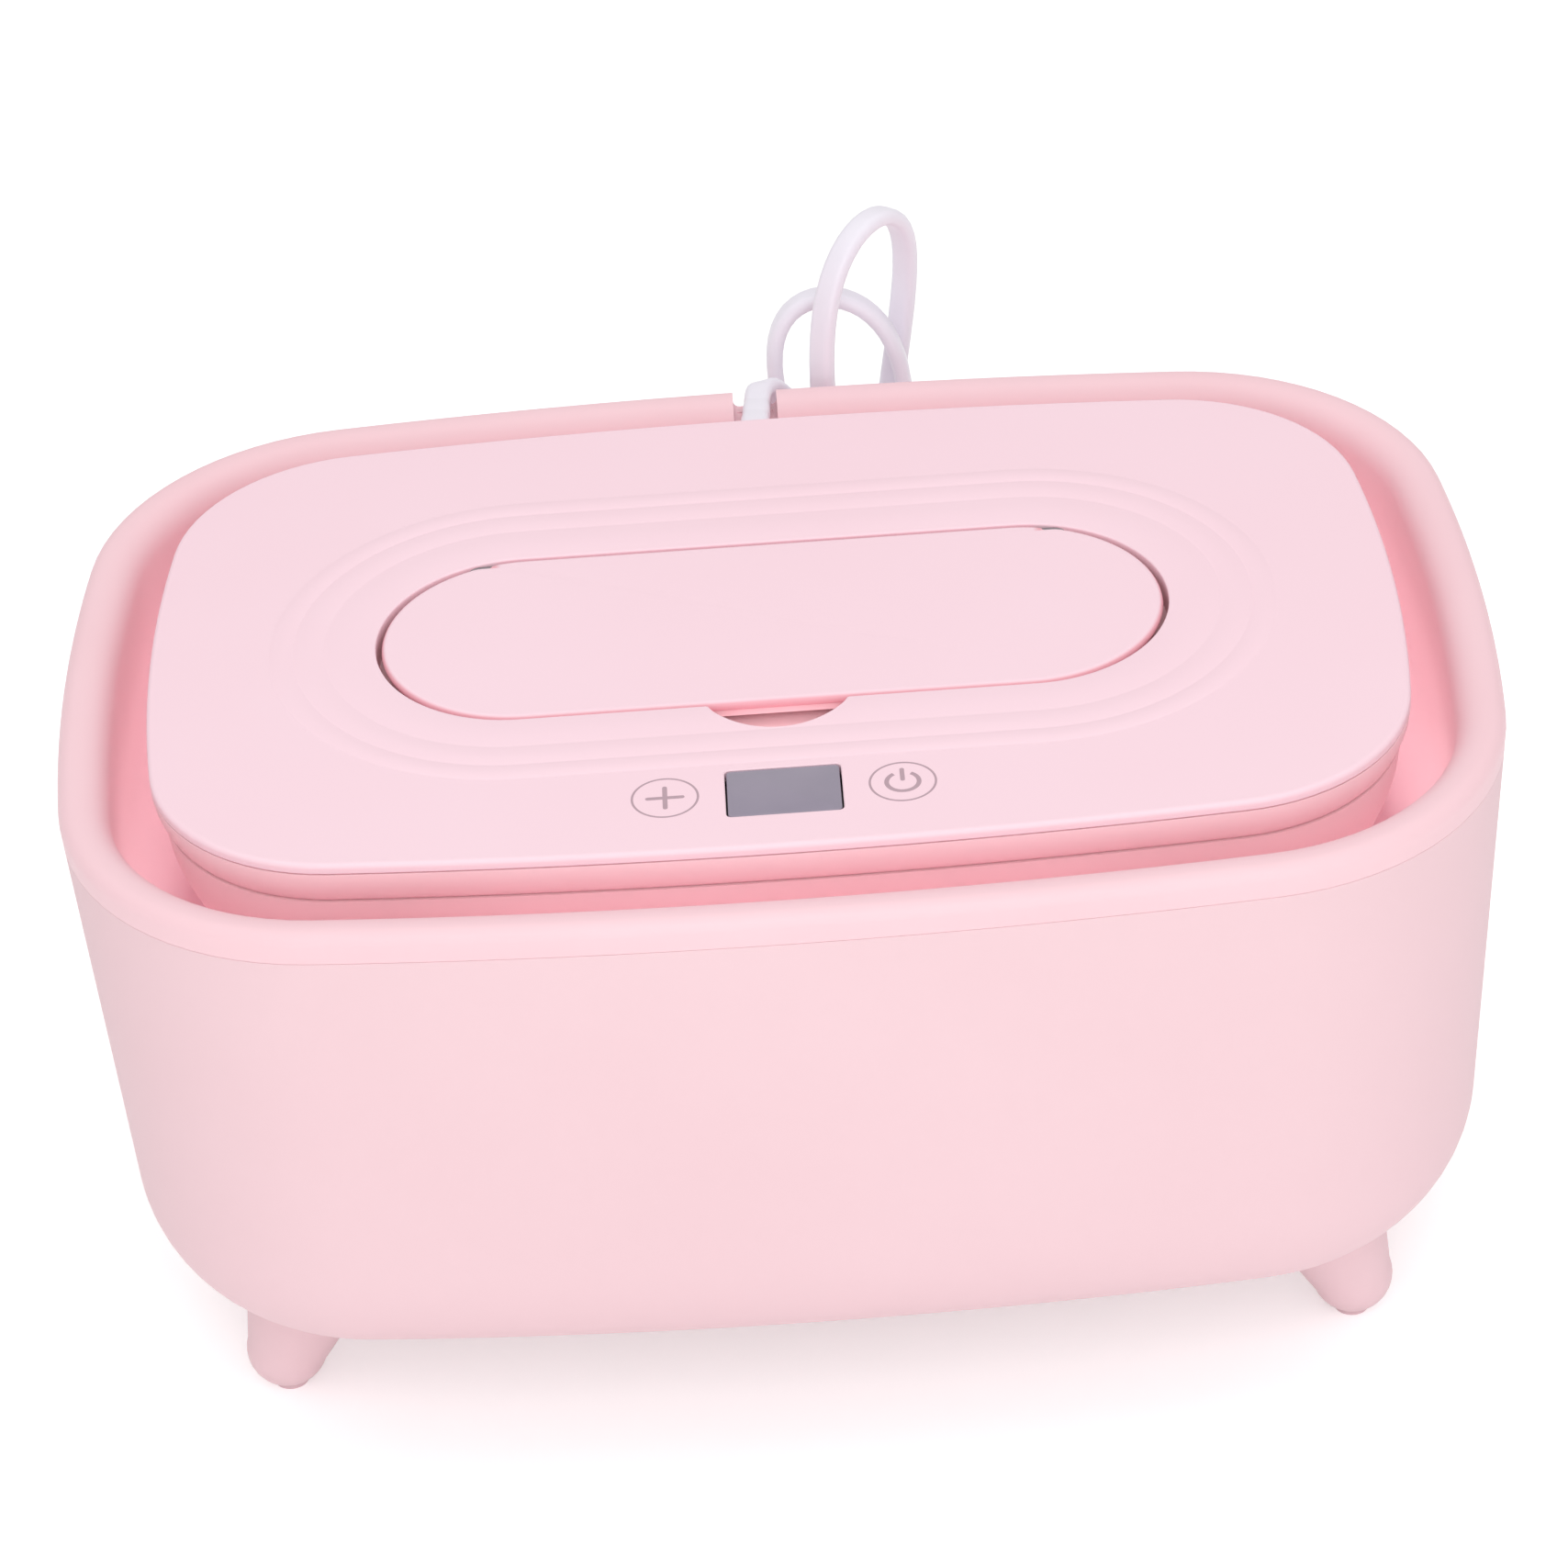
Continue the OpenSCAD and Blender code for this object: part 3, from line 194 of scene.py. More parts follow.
def finish(name, light, dark, drift, rough, grain, height, stretch=(1, 1, 1), metal=0):
    """A surface that drifts between two shades, with uneven gloss and a raised grain.

    drift and grain are the sizes in millimetres of the slow patches and of the grain."""
    material = bpy.data.materials.new(name)
    material.use_nodes = True
    tree = material.node_tree
    shader = tree.nodes["Principled BSDF"]
    shader.inputs["Metallic"].default_value = metal
    place = tree.nodes.new("ShaderNodeTexCoord")
    lay = tree.nodes.new("ShaderNodeMapping")
    lay.inputs["Scale"].default_value = stretch
    tree.links.new(place.outputs["Object"], lay.inputs["Vector"])
    patches = tree.nodes.new("ShaderNodeTexNoise")
    patches.inputs["Scale"].default_value = 1 / (drift * MM)
    patches.inputs["Detail"].default_value = 3
    tree.links.new(lay.outputs["Vector"], patches.inputs["Vector"])
    shade = tree.nodes.new("ShaderNodeValToRGB")
    shade.color_ramp.elements[0].position = 0.3
    shade.color_ramp.elements[0].color = linear(*dark)
    shade.color_ramp.elements[1].position = 0.7
    shade.color_ramp.elements[1].color = linear(*light)
    tree.links.new(patches.outputs["Fac"], shade.inputs["Fac"])
    tree.links.new(shade.outputs["Color"], shader.inputs["Base Color"])
    gloss = tree.nodes.new("ShaderNodeMapRange")
    gloss.inputs["To Min"].default_value = rough[0]
    gloss.inputs["To Max"].default_value = rough[1]
    tree.links.new(patches.outputs["Fac"], gloss.inputs["Value"])
    tree.links.new(gloss.outputs["Result"], shader.inputs["Roughness"])
    pits = tree.nodes.new("ShaderNodeTexNoise")
    pits.inputs["Scale"].default_value = 1 / (grain * MM)
    tree.links.new(lay.outputs["Vector"], pits.inputs["Vector"])
    bump = tree.nodes.new("ShaderNodeBump")
    bump.inputs["Distance"].default_value = height * MM
    tree.links.new(pits.outputs["Fac"], bump.inputs["Height"])
    tree.links.new(bump.outputs["Normal"], shader.inputs["Normal"])
    return material


def fitted(made, body, slot, material, *stands_for):
    """Gives a new piece its finish, its body and the CAD nodes that it stands for.

    The slot is not used.
    """
    made.data.materials.clear()
    made.data.materials.append(material)
    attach(made, body)
    if stands_for:
        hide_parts(*stands_for)


def painted(material, *names):
    """Gives CAD nodes whose shape is right their finish."""
    for name in names:
        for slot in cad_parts[name].material_slots:
            slot.material = material


def wall_inset(z):
    """How far the leaning wall stands in from the rim's outline at a height."""
    return wall_draft * (rim_z - z) / tub_h


def foot_round(wall, floor_z, reach, rise, steps):
    """Quarter ellipse from a floor's edge up into the leaning wall, as (inset, z) pairs."""
    top = wall_inset(floor_z + rise) + wall
    run = []
    for i in range(steps + 1):
        a = math.pi / 2 * i / steps
        run.append((top + reach * (1 - math.sin(a)), floor_z + rise * (1 - math.cos(a))))
    return run


def rounded(inset, z, radius, steps):
    """Quarter circle over an edge, from its side up to its face, as (inset, z) pairs."""
    run = []
    for i in range(steps + 1):
        a = math.pi / 2 * i / steps
        run.append((inset + radius * (1 - math.cos(a)), z - radius * (1 - math.sin(a))))
    return run


skirt = 1.1
tongue_play = 0.15
tongue_in = wall_inset(joint_z) + tongue_play + skirt
tongue_t = 1.2
tongue_h = 1.8
joint_round = 0.12
joint_edge = rounded(wall_inset(joint_z), joint_z, joint_round, 3)
shell_profile = (
    foot_round(0, base_z, base_round_len, base_round_h, 16)
    + joint_edge
    + [(tongue_in, joint_z), (tongue_in, joint_z + tongue_h)]
    + [(tongue_in + tongue_t, joint_z + tongue_h)]
    + foot_round(
        shell_wall,
        base_z + shell_floor,
        base_round_len - shell_wall,
        base_round_h - shell_floor,
        8,
    )[::-1]
)
outer_wall = loft("outer_wall", [tub_ring(inset, z) for inset, z in shell_profile])

shell_screw_x = 55
shell_screw_y = 35
counterbore_r = 3
counterbore_h = 2.5
counterbore_flare = 0.3
counterbore_profile = [
    (counterbore_r + counterbore_flare, base_z - counterbore_flare),
    (counterbore_r, base_z),
    (counterbore_r, base_z + counterbore_h),
]
for x in (-shell_screw_x, shell_screw_x):
    for y in (-shell_screw_y, shell_screw_y):
        joined(outer_wall, turned("counterbore", counterbore_profile, (x, y)), "DIFFERENCE")

shell_pink = finish(
    "shell_pink_matt", (244, 210, 216), (242, 207, 213), 70, (0.5, 0.56), 0.45, 0.006
)
fitted(outer_wall, "tub", "shell_plastic", shell_pink, "outer_shell")

# ---- Feet ----
# Four turned feet of the same pink plastic splay outwards from the underside, each held by a
# screw from inside the tub. A small disc of pink rubber is pressed into the tip of each ball.
leg_x = 92
leg_y = 40
leg_root_r = 11.8
leg_tip_r = 7.5
leg_splay = 23.5
leg_heading = 30
leg_bulge = 0.35
pad_proud = 0.5
leg_run = (base_z - leg_tip_r - pad_proud) / math.cos(math.radians(leg_splay))
root_rise = 2
root_flare = 1.2
root_stub_h = 8

foot_profile = [
    (leg_tip_r * math.cos(math.radians(a)), -leg_run - leg_tip_r * math.sin(math.radians(a)))
    for a in (89, 84, 77, 70, 60, 50, 40, 30, 20, 10)
] + [
    (
        leg_root_r + (leg_tip_r - leg_root_r) * u + leg_bulge * math.sin(math.pi * u),
        -leg_run * u,
    )
    for u in (1, 0.9, 0.8, 0.7, 0.6, 0.5, 0.4, 0.3, 0.2, 0.1, 0)
] + [(leg_root_r + root_flare, root_stub_h)]

for end, sx in (("left", -1), ("right", 1)):
    for side, sy in (("front", -1), ("rear", 1)):
        foot = turned(f"foot_{side}_{end}", foot_profile, steps=64)
        heading = math.atan2(
            sy * math.sin(math.radians(leg_heading)), sx * math.cos(math.radians(leg_heading))
        )
        foot.data.transform(
            Matrix.Translation((sx * leg_x * MM, sy * leg_y * MM, base_z * MM))
            @ Matrix.Rotation(heading, 4, "Z")
            @ Matrix.Rotation(math.radians(-leg_splay), 4, "Y")
        )
        form = bmesh.new()
        form.from_mesh(foot.data)
        cut = bmesh.ops.bisect_plane(
            form,
            geom=form.verts[:] + form.edges[:] + form.faces[:],
            plane_co=(0, 0, (base_z + root_rise) * MM),
            plane_no=(0, 0, 1),
            clear_outer=True,
        )
        rim_edges = [e for e in cut["geom_cut"] if isinstance(e, bmesh.types.BMEdge)]
        bmesh.ops.contextual_create(form, geom=rim_edges)
        form.to_mesh(foot.data)
        form.free()
        fitted(shaded(foot), "tub", "shell_plastic", shell_pink, f"leg_{side}_{end}")

pad_rubber = finish("pad_rubber", (238, 204, 210), (230, 196, 203), 2, (0.75, 0.9), 0.25, 0.02)
painted(pad_rubber, "foot_pads")

turned_steel = finish(
    "turned_steel", (196, 197, 202), (160, 161, 167), 1.2, (0.25, 0.45), 0.18, 0.01, (1, 1, 6), 1
)
painted(turned_steel, "leg_screws", "shell_screws")

# ---- Inner liner ----
# The wipe compartment and the tub's thick rolled rim are one moulding in the same pink. Its rim
# hangs over the shell's tongue and leaves a fine joint line; four gussets inside carry the lid,
# and a notch in the rear rim lets the lead out.
rim_outer_r = 2.5
rim_flat = 0.6
rim_inner_r = 5.7
rim_w = rim_outer_r + rim_flat + rim_inner_r
liner_wall = 2.2
bowl_z = base_z + 10.5
bowl_round = 15
seam = 0.2
joint_gap = 0.05
lid_foot_z = 108.4

skirt_in = wall_inset(joint_z) + skirt
skirt_step = 0.8
tongue_head_gap = 0.5
channel_z = joint_z + tongue_h + tongue_head_gap
channel_arch = 1
channel_slope = 1.5
outer_roll = rounded(wall_inset(rim_z - rim_outer_r), rim_z, rim_outer_r, 8)
inner_roll = [(rim_w - inset, z) for inset, z in rounded(0, rim_z, rim_inner_r, 12)[::-1]]
joint_lip = [(inset, 2 * joint_z + joint_gap - z) for inset, z in reversed(joint_edge)]
bowl_out = rim_w - liner_wall
bowl_out_round = bowl_round + liner_wall
liner_profile = (
    foot_round(bowl_out, bowl_z - liner_wall, bowl_out_round, bowl_out_round, 8)
    + [(bowl_out, channel_z - channel_arch)]
    + [(bowl_out - channel_slope, channel_z + channel_arch)]
    + [(skirt_in + skirt_step, channel_z + channel_arch)]
    + [(skirt_in, channel_z), (skirt_in, joint_z + joint_gap)]
    + joint_lip
    + outer_roll
    + inner_roll
    + foot_round(rim_w, bowl_z, bowl_round, bowl_round, 12)[::-1]
)
liner = loft("liner", [tub_ring(inset, z) for inset, z in liner_profile])


def long_wall_y(inset, x):
    """How far back the tub's long wall, drawn in by inset, stands at a distance x."""
    return tub_half_dep - tub_long_r + math.sqrt((tub_long_r - inset) ** 2 - x * x)


fin_t = 3
fin_x = 62
fin_nose_y = 60.1
fin_nose_h = 7
fin_slope_h = 26
fin_top = lid_foot_z - seam
fin_nose_z = fin_top - fin_nose_h
fin_root_z = fin_nose_z - fin_slope_h
fin_y_top = long_wall_y(rim_w + wall_inset(fin_top) - liner_wall / 2, fin_x)
fin_y_low = long_wall_y(rim_w + wall_inset(fin_root_z) - liner_wall / 2, fin_x)
for sx in (-1, 1):
    for sy in (-1, 1):
        gusset = prism(
            "gusset",
            [
                (sy * fin_nose_y, fin_top),
                (sy * fin_nose_y, fin_nose_z),
                (sy * fin_y_low, fin_root_z),
                (sy * fin_y_top, fin_top),
            ],
            0,
            sx * fin_x - fin_t / 2,
            sx * fin_x + fin_t / 2,
        )
        joined(liner, gusset, "UNION")

notch_left = -4.5
notch_right = 3.9
notch_z = rim_z - 4.15
notch_corner = 1.2
saddle_margin = 2.5
saddle = prism(
    "saddle",
    [
        (joint_z + joint_gap, notch_left - saddle_margin),
        (notch_z + 1, notch_left - saddle_margin),
        (notch_z + 1, notch_right + saddle_margin),
        (joint_z + joint_gap, notch_right + saddle_margin),
    ],
    1,
    tub_half_dep - rim_w,
    tub_half_dep - 1,
)
joined(liner, saddle, "UNION")
notch_low = notch_z + notch_corner
notch_outline = (
    [(rim_z + 2, notch_right), (rim_z + 2, notch_left)]
    + arc((notch_low, notch_left + notch_corner), notch_corner, -math.pi / 2, -math.pi, 5)
    + arc((notch_low, notch_right - notch_corner), notch_corner, math.pi, math.pi / 2, 5)
)
notch = prism("notch", notch_outline, 1, tub_half_dep - rim_w - 6, tub_half_dep + 2)
joined(liner, notch, "DIFFERENCE")

liner_pink = finish(
    "liner_pink_satin", (252, 213, 220), (250, 209, 216), 60, (0.42, 0.5), 0.5, 0.004
)
fitted(liner, "tub", "liner_plastic", liner_pink, "inner_liner")

# ---- Lid pan ----
# The lid's underside is a shallow moulded dish of a deeper pink with drawn-in sides. It carries
# everything inside the lid, stands on the liner's gussets, and has a recess below that holds
# the heater.
lid_half_len = 110.9
lid_half_dep = 69.7
lid_short_r = 307
lid_long_r = 944
lid_corner_r = 34.8
lid_z = 132
cover_t = 1.9
cover_z = lid_z - cover_t
band_z = cover_z - 6.7
pan_under_z = 112
pan_z = 114
lid_wall = 2.2
pan_foot_inset = 5.3
pan_top_inset = 1.7
pan_foot_round = 0.5
pan_foot_bevel = 0.15


def lid_ring(inset, z):
    plan = bowed_plan(lid_half_len, lid_half_dep, lid_short_r, lid_long_r, lid_corner_r, inset)
    return [(x, y, z) for x, y in plan]


def stadium_ring(half_len, half_wid, z, centre_y):
    """Ring of two half circles and straight sides, with as many points as a lid ring."""
    quarter = arc((half_len - half_wid, 0), half_wid, 0, math.pi / 2, side_steps + corner_steps)
    ahead = half_len - half_wid
    quarter += [(ahead * (1 - i / side_steps), half_wid) for i in range(1, side_steps + 1)]
    return [(x, y + centre_y, z) for x, y in mirrored(quarter)]


pan_top = band_z - seam
pan_side = []
for i in range(13):
    u = i / 12
    pan_side.append(
        (
            pan_top_inset + (pan_foot_inset - pan_top_inset) * (1 - u) ** 2,
            lid_foot_z + pan_foot_round + (pan_top - lid_foot_z - pan_foot_round) * u,
        )
    )
pan_profile = (
    [(pan_foot_inset + lid_wall, pan_under_z), (pan_foot_inset + lid_wall, lid_foot_z)]
    + [(pan_foot_inset + pan_foot_round, lid_foot_z)]
    + [(pan_foot_inset + pan_foot_bevel, lid_foot_z + pan_foot_bevel)]
    + pan_side
    + [(pan_top_inset + lid_wall, pan_top), (pan_foot_inset + lid_wall - 1, pan_z)]
)
pan = loft("lid_pan", [lid_ring(inset, z) for inset, z in pan_profile])

flap_centre_y = -0.6
throat_half_len = 50
throat_half_wid = 13
well_wall = 1.6
throat_grow = well_wall + seam
throat_hole = loft(
    "throat_hole",
    [
        stadium_ring(throat_half_len + throat_grow, throat_half_wid + throat_grow, z, flap_centre_y)
        for z in (pan_under_z - 1, pan_z + 1)
    ],
)
joined(pan, throat_hole, "DIFFERENCE")
band_pink = finish(
    "band_pink_satin", (255, 216, 222), (254, 212, 218), 60, (0.42, 0.5), 0.5, 0.003
)
fitted(pan, "lid", "lid_plastic", band_pink, "lid_base")

# ---- Heater ----
# A round-cornered aluminium plate warms the wipes from above. An etched heating film is stuck
# to its back under a soft foam pad, with a temperature sensor and a thermal fuse in the pad.
rolled_aluminium = finish(
    "rolled_aluminium",
    (212, 214, 220),
    (196, 198, 205),
    3,
    (0.28, 0.42),
    0.3,
    0.004,
    (0.06, 1, 1),
    1,
)
painted(rolled_aluminium, "heater_plate")

film_amber = finish(
    "film_amber", (202, 128, 58), (186, 110, 46), 8, (0.25, 0.35), 1.5, 0.01, (0.2, 1, 1)
)
track = film_amber.node_tree
stripes = track.nodes.new("ShaderNodeTexWave")
stripes.bands_direction = "Y"
stripes.inputs["Scale"].default_value = 32
etched = track.nodes.new("ShaderNodeValToRGB")
etched.color_ramp.interpolation = "CONSTANT"
etched.color_ramp.elements[0].color = linear(196, 120, 52)
etched.color_ramp.elements[1].position = 0.62
etched.color_ramp.elements[1].color = linear(150, 112, 84)
film_shader = track.nodes["Principled BSDF"]
film_place = track.nodes["Texture Coordinate"]
track.links.new(film_place.outputs["Object"], stripes.inputs["Vector"])
track.links.new(stripes.outputs["Fac"], etched.inputs["Fac"])
track.links.new(etched.outputs["Color"], film_shader.inputs["Base Color"])
painted(film_amber, "heating_film")

plate_len = 170
plate_wid = 100
plate_corner_r = 12
film_top_z = 110.5
pad_shrink = 1
pad_edge_in = 0.35
pad_edge_ease = 0.1
pad_edge_h = 0.3
pad_hole_grow = 1.9
pad_hole_edge = 2.2


def heater_ring(shrink, z):
    """Round-cornered ring of the heater's layers, with as many points as a stadium ring."""
    x = plate_len / 2 - shrink - plate_corner_r
    y = plate_wid / 2 - shrink - plate_corner_r
    quarter = [(x + plate_corner_r, y * i / side_steps) for i in range(side_steps)]
    quarter += arc((x, y), plate_corner_r, 0, math.pi / 2, corner_steps)
    quarter += [(x * (1 - i / side_steps), y + plate_corner_r) for i in range(1, side_steps + 1)]
    return [(px, py, z) for px, py in mirrored(quarter)]


pad_mid_z = (film_top_z + pan_under_z) / 2
foam_pad = loft(
    "foam_pad",
    [
        heater_ring(pad_shrink + pad_edge_in, film_top_z),
        heater_ring(pad_shrink + pad_edge_ease, film_top_z + pad_edge_h),
        heater_ring(pad_shrink, pad_mid_z),
        heater_ring(pad_shrink + pad_edge_ease, pan_under_z - pad_edge_h),
        heater_ring(pad_shrink + pad_edge_in, pan_under_z),
    ]
    + [
        stadium_ring(throat_half_len + grow, throat_half_wid + grow, z, flap_centre_y)
        for grow, z in (
            (pad_hole_edge, pan_under_z),
            (pad_hole_grow, pad_mid_z),
            (pad_hole_edge, film_top_z),
        )
    ],
    closed=True,
)
sensor_x = 62
sensor_y = 34
sensor_r = 2.5
sensor_hole_r = sensor_r + 0.3
hole_profile = [(sensor_hole_r, film_top_z - 1), (sensor_hole_r, pan_under_z + 1)]
for x in (-sensor_x, sensor_x):
    joined(foam_pad, turned("sensor_hole", hole_profile, (x, sensor_y)), "DIFFERENCE")
pad_foam = finish("pad_foam", (226, 226, 218), (206, 205, 196), 4, (0.85, 0.95), 0.6, 0.12)
fitted(foam_pad, "lid", "pad_foam", pad_foam, "insulation_pad")

sensor_black = finish("sensor_black", (58, 58, 64), (44, 44, 50), 2, (0.4, 0.55), 0.3, 0.01)
painted(sensor_black, "temperature_sensor")
fuse_cream = finish("fuse_cream", (222, 212, 180), (208, 196, 162), 2, (0.35, 0.5), 0.3, 0.01)
painted(fuse_cream, "thermal_fuse")

# ---- Boards ----
# The key and display board lies at the front of the pan, the power board at the back. Each is
# green glass-fibre laminate with copper tracks under lacquer, screwed to posts in the pan.
board_green = finish("board_green", (36, 116, 74), (26, 98, 62), 12, (0.25, 0.35), 1.2, 0.01)
lacquer = board_green.node_tree
tracks = lacquer.nodes.new("ShaderNodeTexBrick")
tracks.inputs["Scale"].default_value = 90
tracks.inputs["Mortar Size"].default_value = 0.03
tracks.inputs["Color1"].default_value = linear(34, 112, 70)
tracks.inputs["Color2"].default_value = linear(30, 104, 66)
tracks.inputs["Mortar"].default_value = linear(74, 146, 92)
board_place = lacquer.nodes["Texture Coordinate"]
board_shader = lacquer.nodes["Principled BSDF"]
lacquer.links.new(board_place.outputs["Object"], tracks.inputs["Vector"])
lacquer.links.new(tracks.outputs["Color"], board_shader.inputs["Base Color"])
painted(board_green, "control_board", "power_board")
part_blue = finish("part_blue", (74, 86, 112), (58, 68, 92), 5, (0.3, 0.45), 0.4, 0.01)
painted(part_blue, "power_parts")
display_black = finish("display_black", (42, 42, 46), (32, 32, 36), 6, (0.3, 0.4), 0.5, 0.005)
painted(display_black, "display_module")
painted(turned_steel, "board_screws", "lid_screws", "clamp_screws")
key_silicone = finish("key_silicone", (96, 96, 102), (82, 82, 88), 4, (0.6, 0.75), 0.4, 0.02)
painted(key_silicone, "key_pads")

# ---- Well and throat ----
# Under the flap the lid has a sunken tray with a raised lip for the flap's seal and a long
# throat down to the compartment. A soft silicone gasket in the throat grips the next wipe.
well_pink = finish("well_pink", (255, 220, 225), (254, 214, 220), 40, (0.42, 0.5), 0.5, 0.004)
painted(well_pink, "flip_well")
silicone = finish("silicone", (238, 230, 236), (228, 219, 226), 10, (0.5, 0.65), 0.5, 0.006)
painted(silicone, "throat_gasket", "flip_seal")

# ---- Side band ----
# A moulded ring of a deeper pink closes the lid's side between the cover and the pan. It curves
# under at its foot and meets the cover in a fine groove; a slot at the back lets the lead's
# sleeve through.
band_foot_inset = 2
band_curve = 2.1
band_foot_low = 0.02
band_foot_bevel = 0.1
band_ledge_w = 4
band_ledge_t = 1.8
ledge_fillet = ((0.4, 2.6), (1.6, band_ledge_t))
groove = 0.2
groove_in = 0.7
groove_ease = 0.06
band_side = []
for i in range(13):
    u = i / 12
    band_side.append(
        (band_foot_inset * (1 - u) ** band_curve, band_z + (cover_z - band_z - groove) * u)
    )
groove_low = cover_z - groove + groove_ease
ledge_in = band_foot_inset + lid_wall + band_ledge_w
band_profile = (
    [(band_foot_inset + groove, band_z - band_foot_low)]
    + [(inset, z + band_foot_bevel if i == 0 else z) for i, (inset, z) in enumerate(band_side)]
    + [(groove_ease, groove_low), (groove_in, groove_low)]
    + [(groove_in, cover_z), (lid_wall, cover_z)]
    + [(lid_wall + across, band_z + rise) for across, rise in ledge_fillet]
    + [(ledge_in, band_z + band_ledge_t), (ledge_in, band_z)]
)
band = loft("side_band", [lid_ring(inset, z) for inset, z in band_profile], closed=True)

relief_w = 5.6
relief_h = 4.2
relief_z = rim_z - 1.75
relief_x = -1.2
relief_y = lid_half_dep - 2.6
relief_turn = math.radians(-5)
relief_play = 0.15
relief_axis = Vector((-math.sin(relief_turn), math.cos(relief_turn), 0))
sleeve_slot = prism(
    "sleeve_slot",
    [
        (relief_z + sz * (relief_h / 2 + relief_play), sx * (relief_w / 2 + relief_play))
        for sz, sx in ((-1, -1), (1, -1), (1, 1), (-1, 1))
    ],
    1,
    relief_y - 4,
    relief_y + 6,
)
sleeve_slot.data.transform(
    Matrix.Translation((relief_x * MM, relief_y * MM, 0))
    @ Matrix.Rotation(relief_turn, 4, "Z")
    @ Matrix.Translation((0, -relief_y * MM, 0))
)
joined(band, sleeve_slot, "DIFFERENCE")
fitted(band, "lid", "band_plastic", band_pink, "lid_mid_shell")

# ---- Top cover ----
# The cover is moulded in the palest pink, with the smoothest face. Two low rounded ripples run
# round the flap's opening, with a wider one inside them; a finger scoop is cut into the front
# of the opening, and the display and two touch keys sit before it.
cover_round = 0.9
cover_lift = 0.02
crease_run = 0.4
open_half_len = 70.6
open_half_wid = 26.1
open_round = 0.35
ripple_straight = 44.9
ripple_centre_y = -0.2
ripple_creases = (44.7, 40.5, 35.0)
ripple_h = 0.24
ripple_shares = (0.03, 0.1, 0.22, 0.38, 0.5, 0.62, 0.78, 0.9, 0.97)


def cover_stadium(half_wid, z):
    return stadium_ring(ripple_straight + half_wid, half_wid, z, ripple_centre_y)


def between(ring_a, ring_b, share):
    """The ring that lies a share of the way from one ring to another."""
    return [Vector(a).lerp(Vector(b), share) for a, b in zip(ring_a, ring_b)]


edge_rings = [
    lid_ring(groove_in, cover_z + cover_lift),
    lid_ring(groove_in, cover_z + groove - groove_ease),
    lid_ring(groove_ease, cover_z + groove - groove_ease),
    lid_ring(0, cover_z + groove),
]
edge_rings += [lid_ring(inset, z) for inset, z in rounded(0, lid_z, cover_round, 10)]
flat_start = lid_ring(cover_round + crease_run, lid_z)
flat_end = cover_stadium(ripple_creases[0] + crease_run, lid_z)
flat_rings = [between(flat_start, flat_end, share) for share in (0, 0.33, 0.66, 1)]
ripple_rings = []
inner_edge = open_half_wid + open_round
for outer, inner in zip(ripple_creases, ripple_creases[1:] + (inner_edge,)):
    ripple_rings.append(cover_stadium(outer, lid_z))
    for t in ripple_shares:
        crown = lid_z + ripple_h * 4 * t * (1 - t)
        ripple_rings.append(cover_stadium(outer + (inner - outer) * t, crown))
opening_rings = [
    stadium_ring(open_half_len + grow, open_half_wid + grow, z, flap_centre_y)
    for grow, z in rounded(0, lid_z, open_round, 4)[::-1]
]
under_rings = [
    stadium_ring(open_half_len, open_half_wid, cover_z, flap_centre_y),
    lid_ring(lid_wall + 1, cover_z),
]
cover = loft(
    "top_cover", edge_rings + flat_rings + ripple_rings + opening_rings + under_rings, closed=True
)

scoop_r = 13.4
scoop_y = -21
scoop_round = 0.35
scoop_profile = (
    [(scoop_r, cover_z - 1)]
    + rounded(scoop_r, lid_z, scoop_round, 5)
    + [(scoop_r + scoop_round, lid_z + 1)]
)
joined(cover, turned("scoop", scoop_profile, (0, scoop_y), steps=128), "DIFFERENCE")

display_half_len = 9.95
display_half_wid = 6.85
display_corner = 1
cut_out_edge = 0.15
panel_y = -53.7


def round_block(half_len, half_wid, corner_r, insets_and_z, at):
    """Rings of a block with round corners, drawn in by each inset at each height."""
    rings = []
    for inset, z in insets_and_z:
        x = half_len - corner_r
        y = half_wid - corner_r
        quarter = arc((x, y), corner_r - inset, 0, math.pi / 2, 6)
        outline = (
            quarter
            + [(-px, py) for px, py in reversed(quarter)]
            + [(-px, -py) for px, py in quarter]
            + [(px, -py) for px, py in reversed(quarter)]
        )
        rings.append([(px + at[0], py + at[1], z) for px, py in outline])
    return rings


window_hole = loft(
    "window_hole",
    round_block(
        display_half_len,
        display_half_wid,
        display_corner,
        [
            (0, cover_z - 1),
            (0, lid_z - cut_out_edge),
            (-cut_out_edge, lid_z),
            (-cut_out_edge, lid_z + 1),
        ],
        (0, panel_y),
    ),
)
joined(cover, window_hole, "DIFFERENCE")
lid_colours = ((255, 223, 233), (254, 220, 230))
lid_pink = finish("lid_pink_satin", *lid_colours, 80, (0.46, 0.54), 0.5, 0.003)
fitted(cover, "lid", "lid_plastic", lid_pink, "lid_cover")

# ---- Display window ----
# A smoked, glossy lens fills the cover's cut-out a hair below its face, over a flange that is
# glued beneath the cover.
window_side_gap = 0.32
window_front_gap = 0.16
window_corner = display_corner - 0.1
window_edge = ((0, 0.3), (0.06, 0.2), (0.18, 0.16))
window = loft(
    "window_lens",
    round_block(
        display_half_len - window_side_gap,
        display_half_wid - window_front_gap,
        window_corner,
        [(0, cover_z - 0.4)] + [(inset, lid_z - sunk) for inset, sunk in window_edge],
        (0, panel_y),
    ),
)
lens_smoke = finish("lens_smoke", (156, 146, 163), (148, 139, 156), 14, (0.12, 0.2), 3, 0.001)
lens_shader = lens_smoke.node_tree.nodes["Principled BSDF"]
lens_shader.inputs["Coat Weight"].default_value = 0.4
lens_shader.inputs["Coat Roughness"].default_value = 0.05
fitted(window, "lid", "window_smoke", lens_smoke, "display_window")

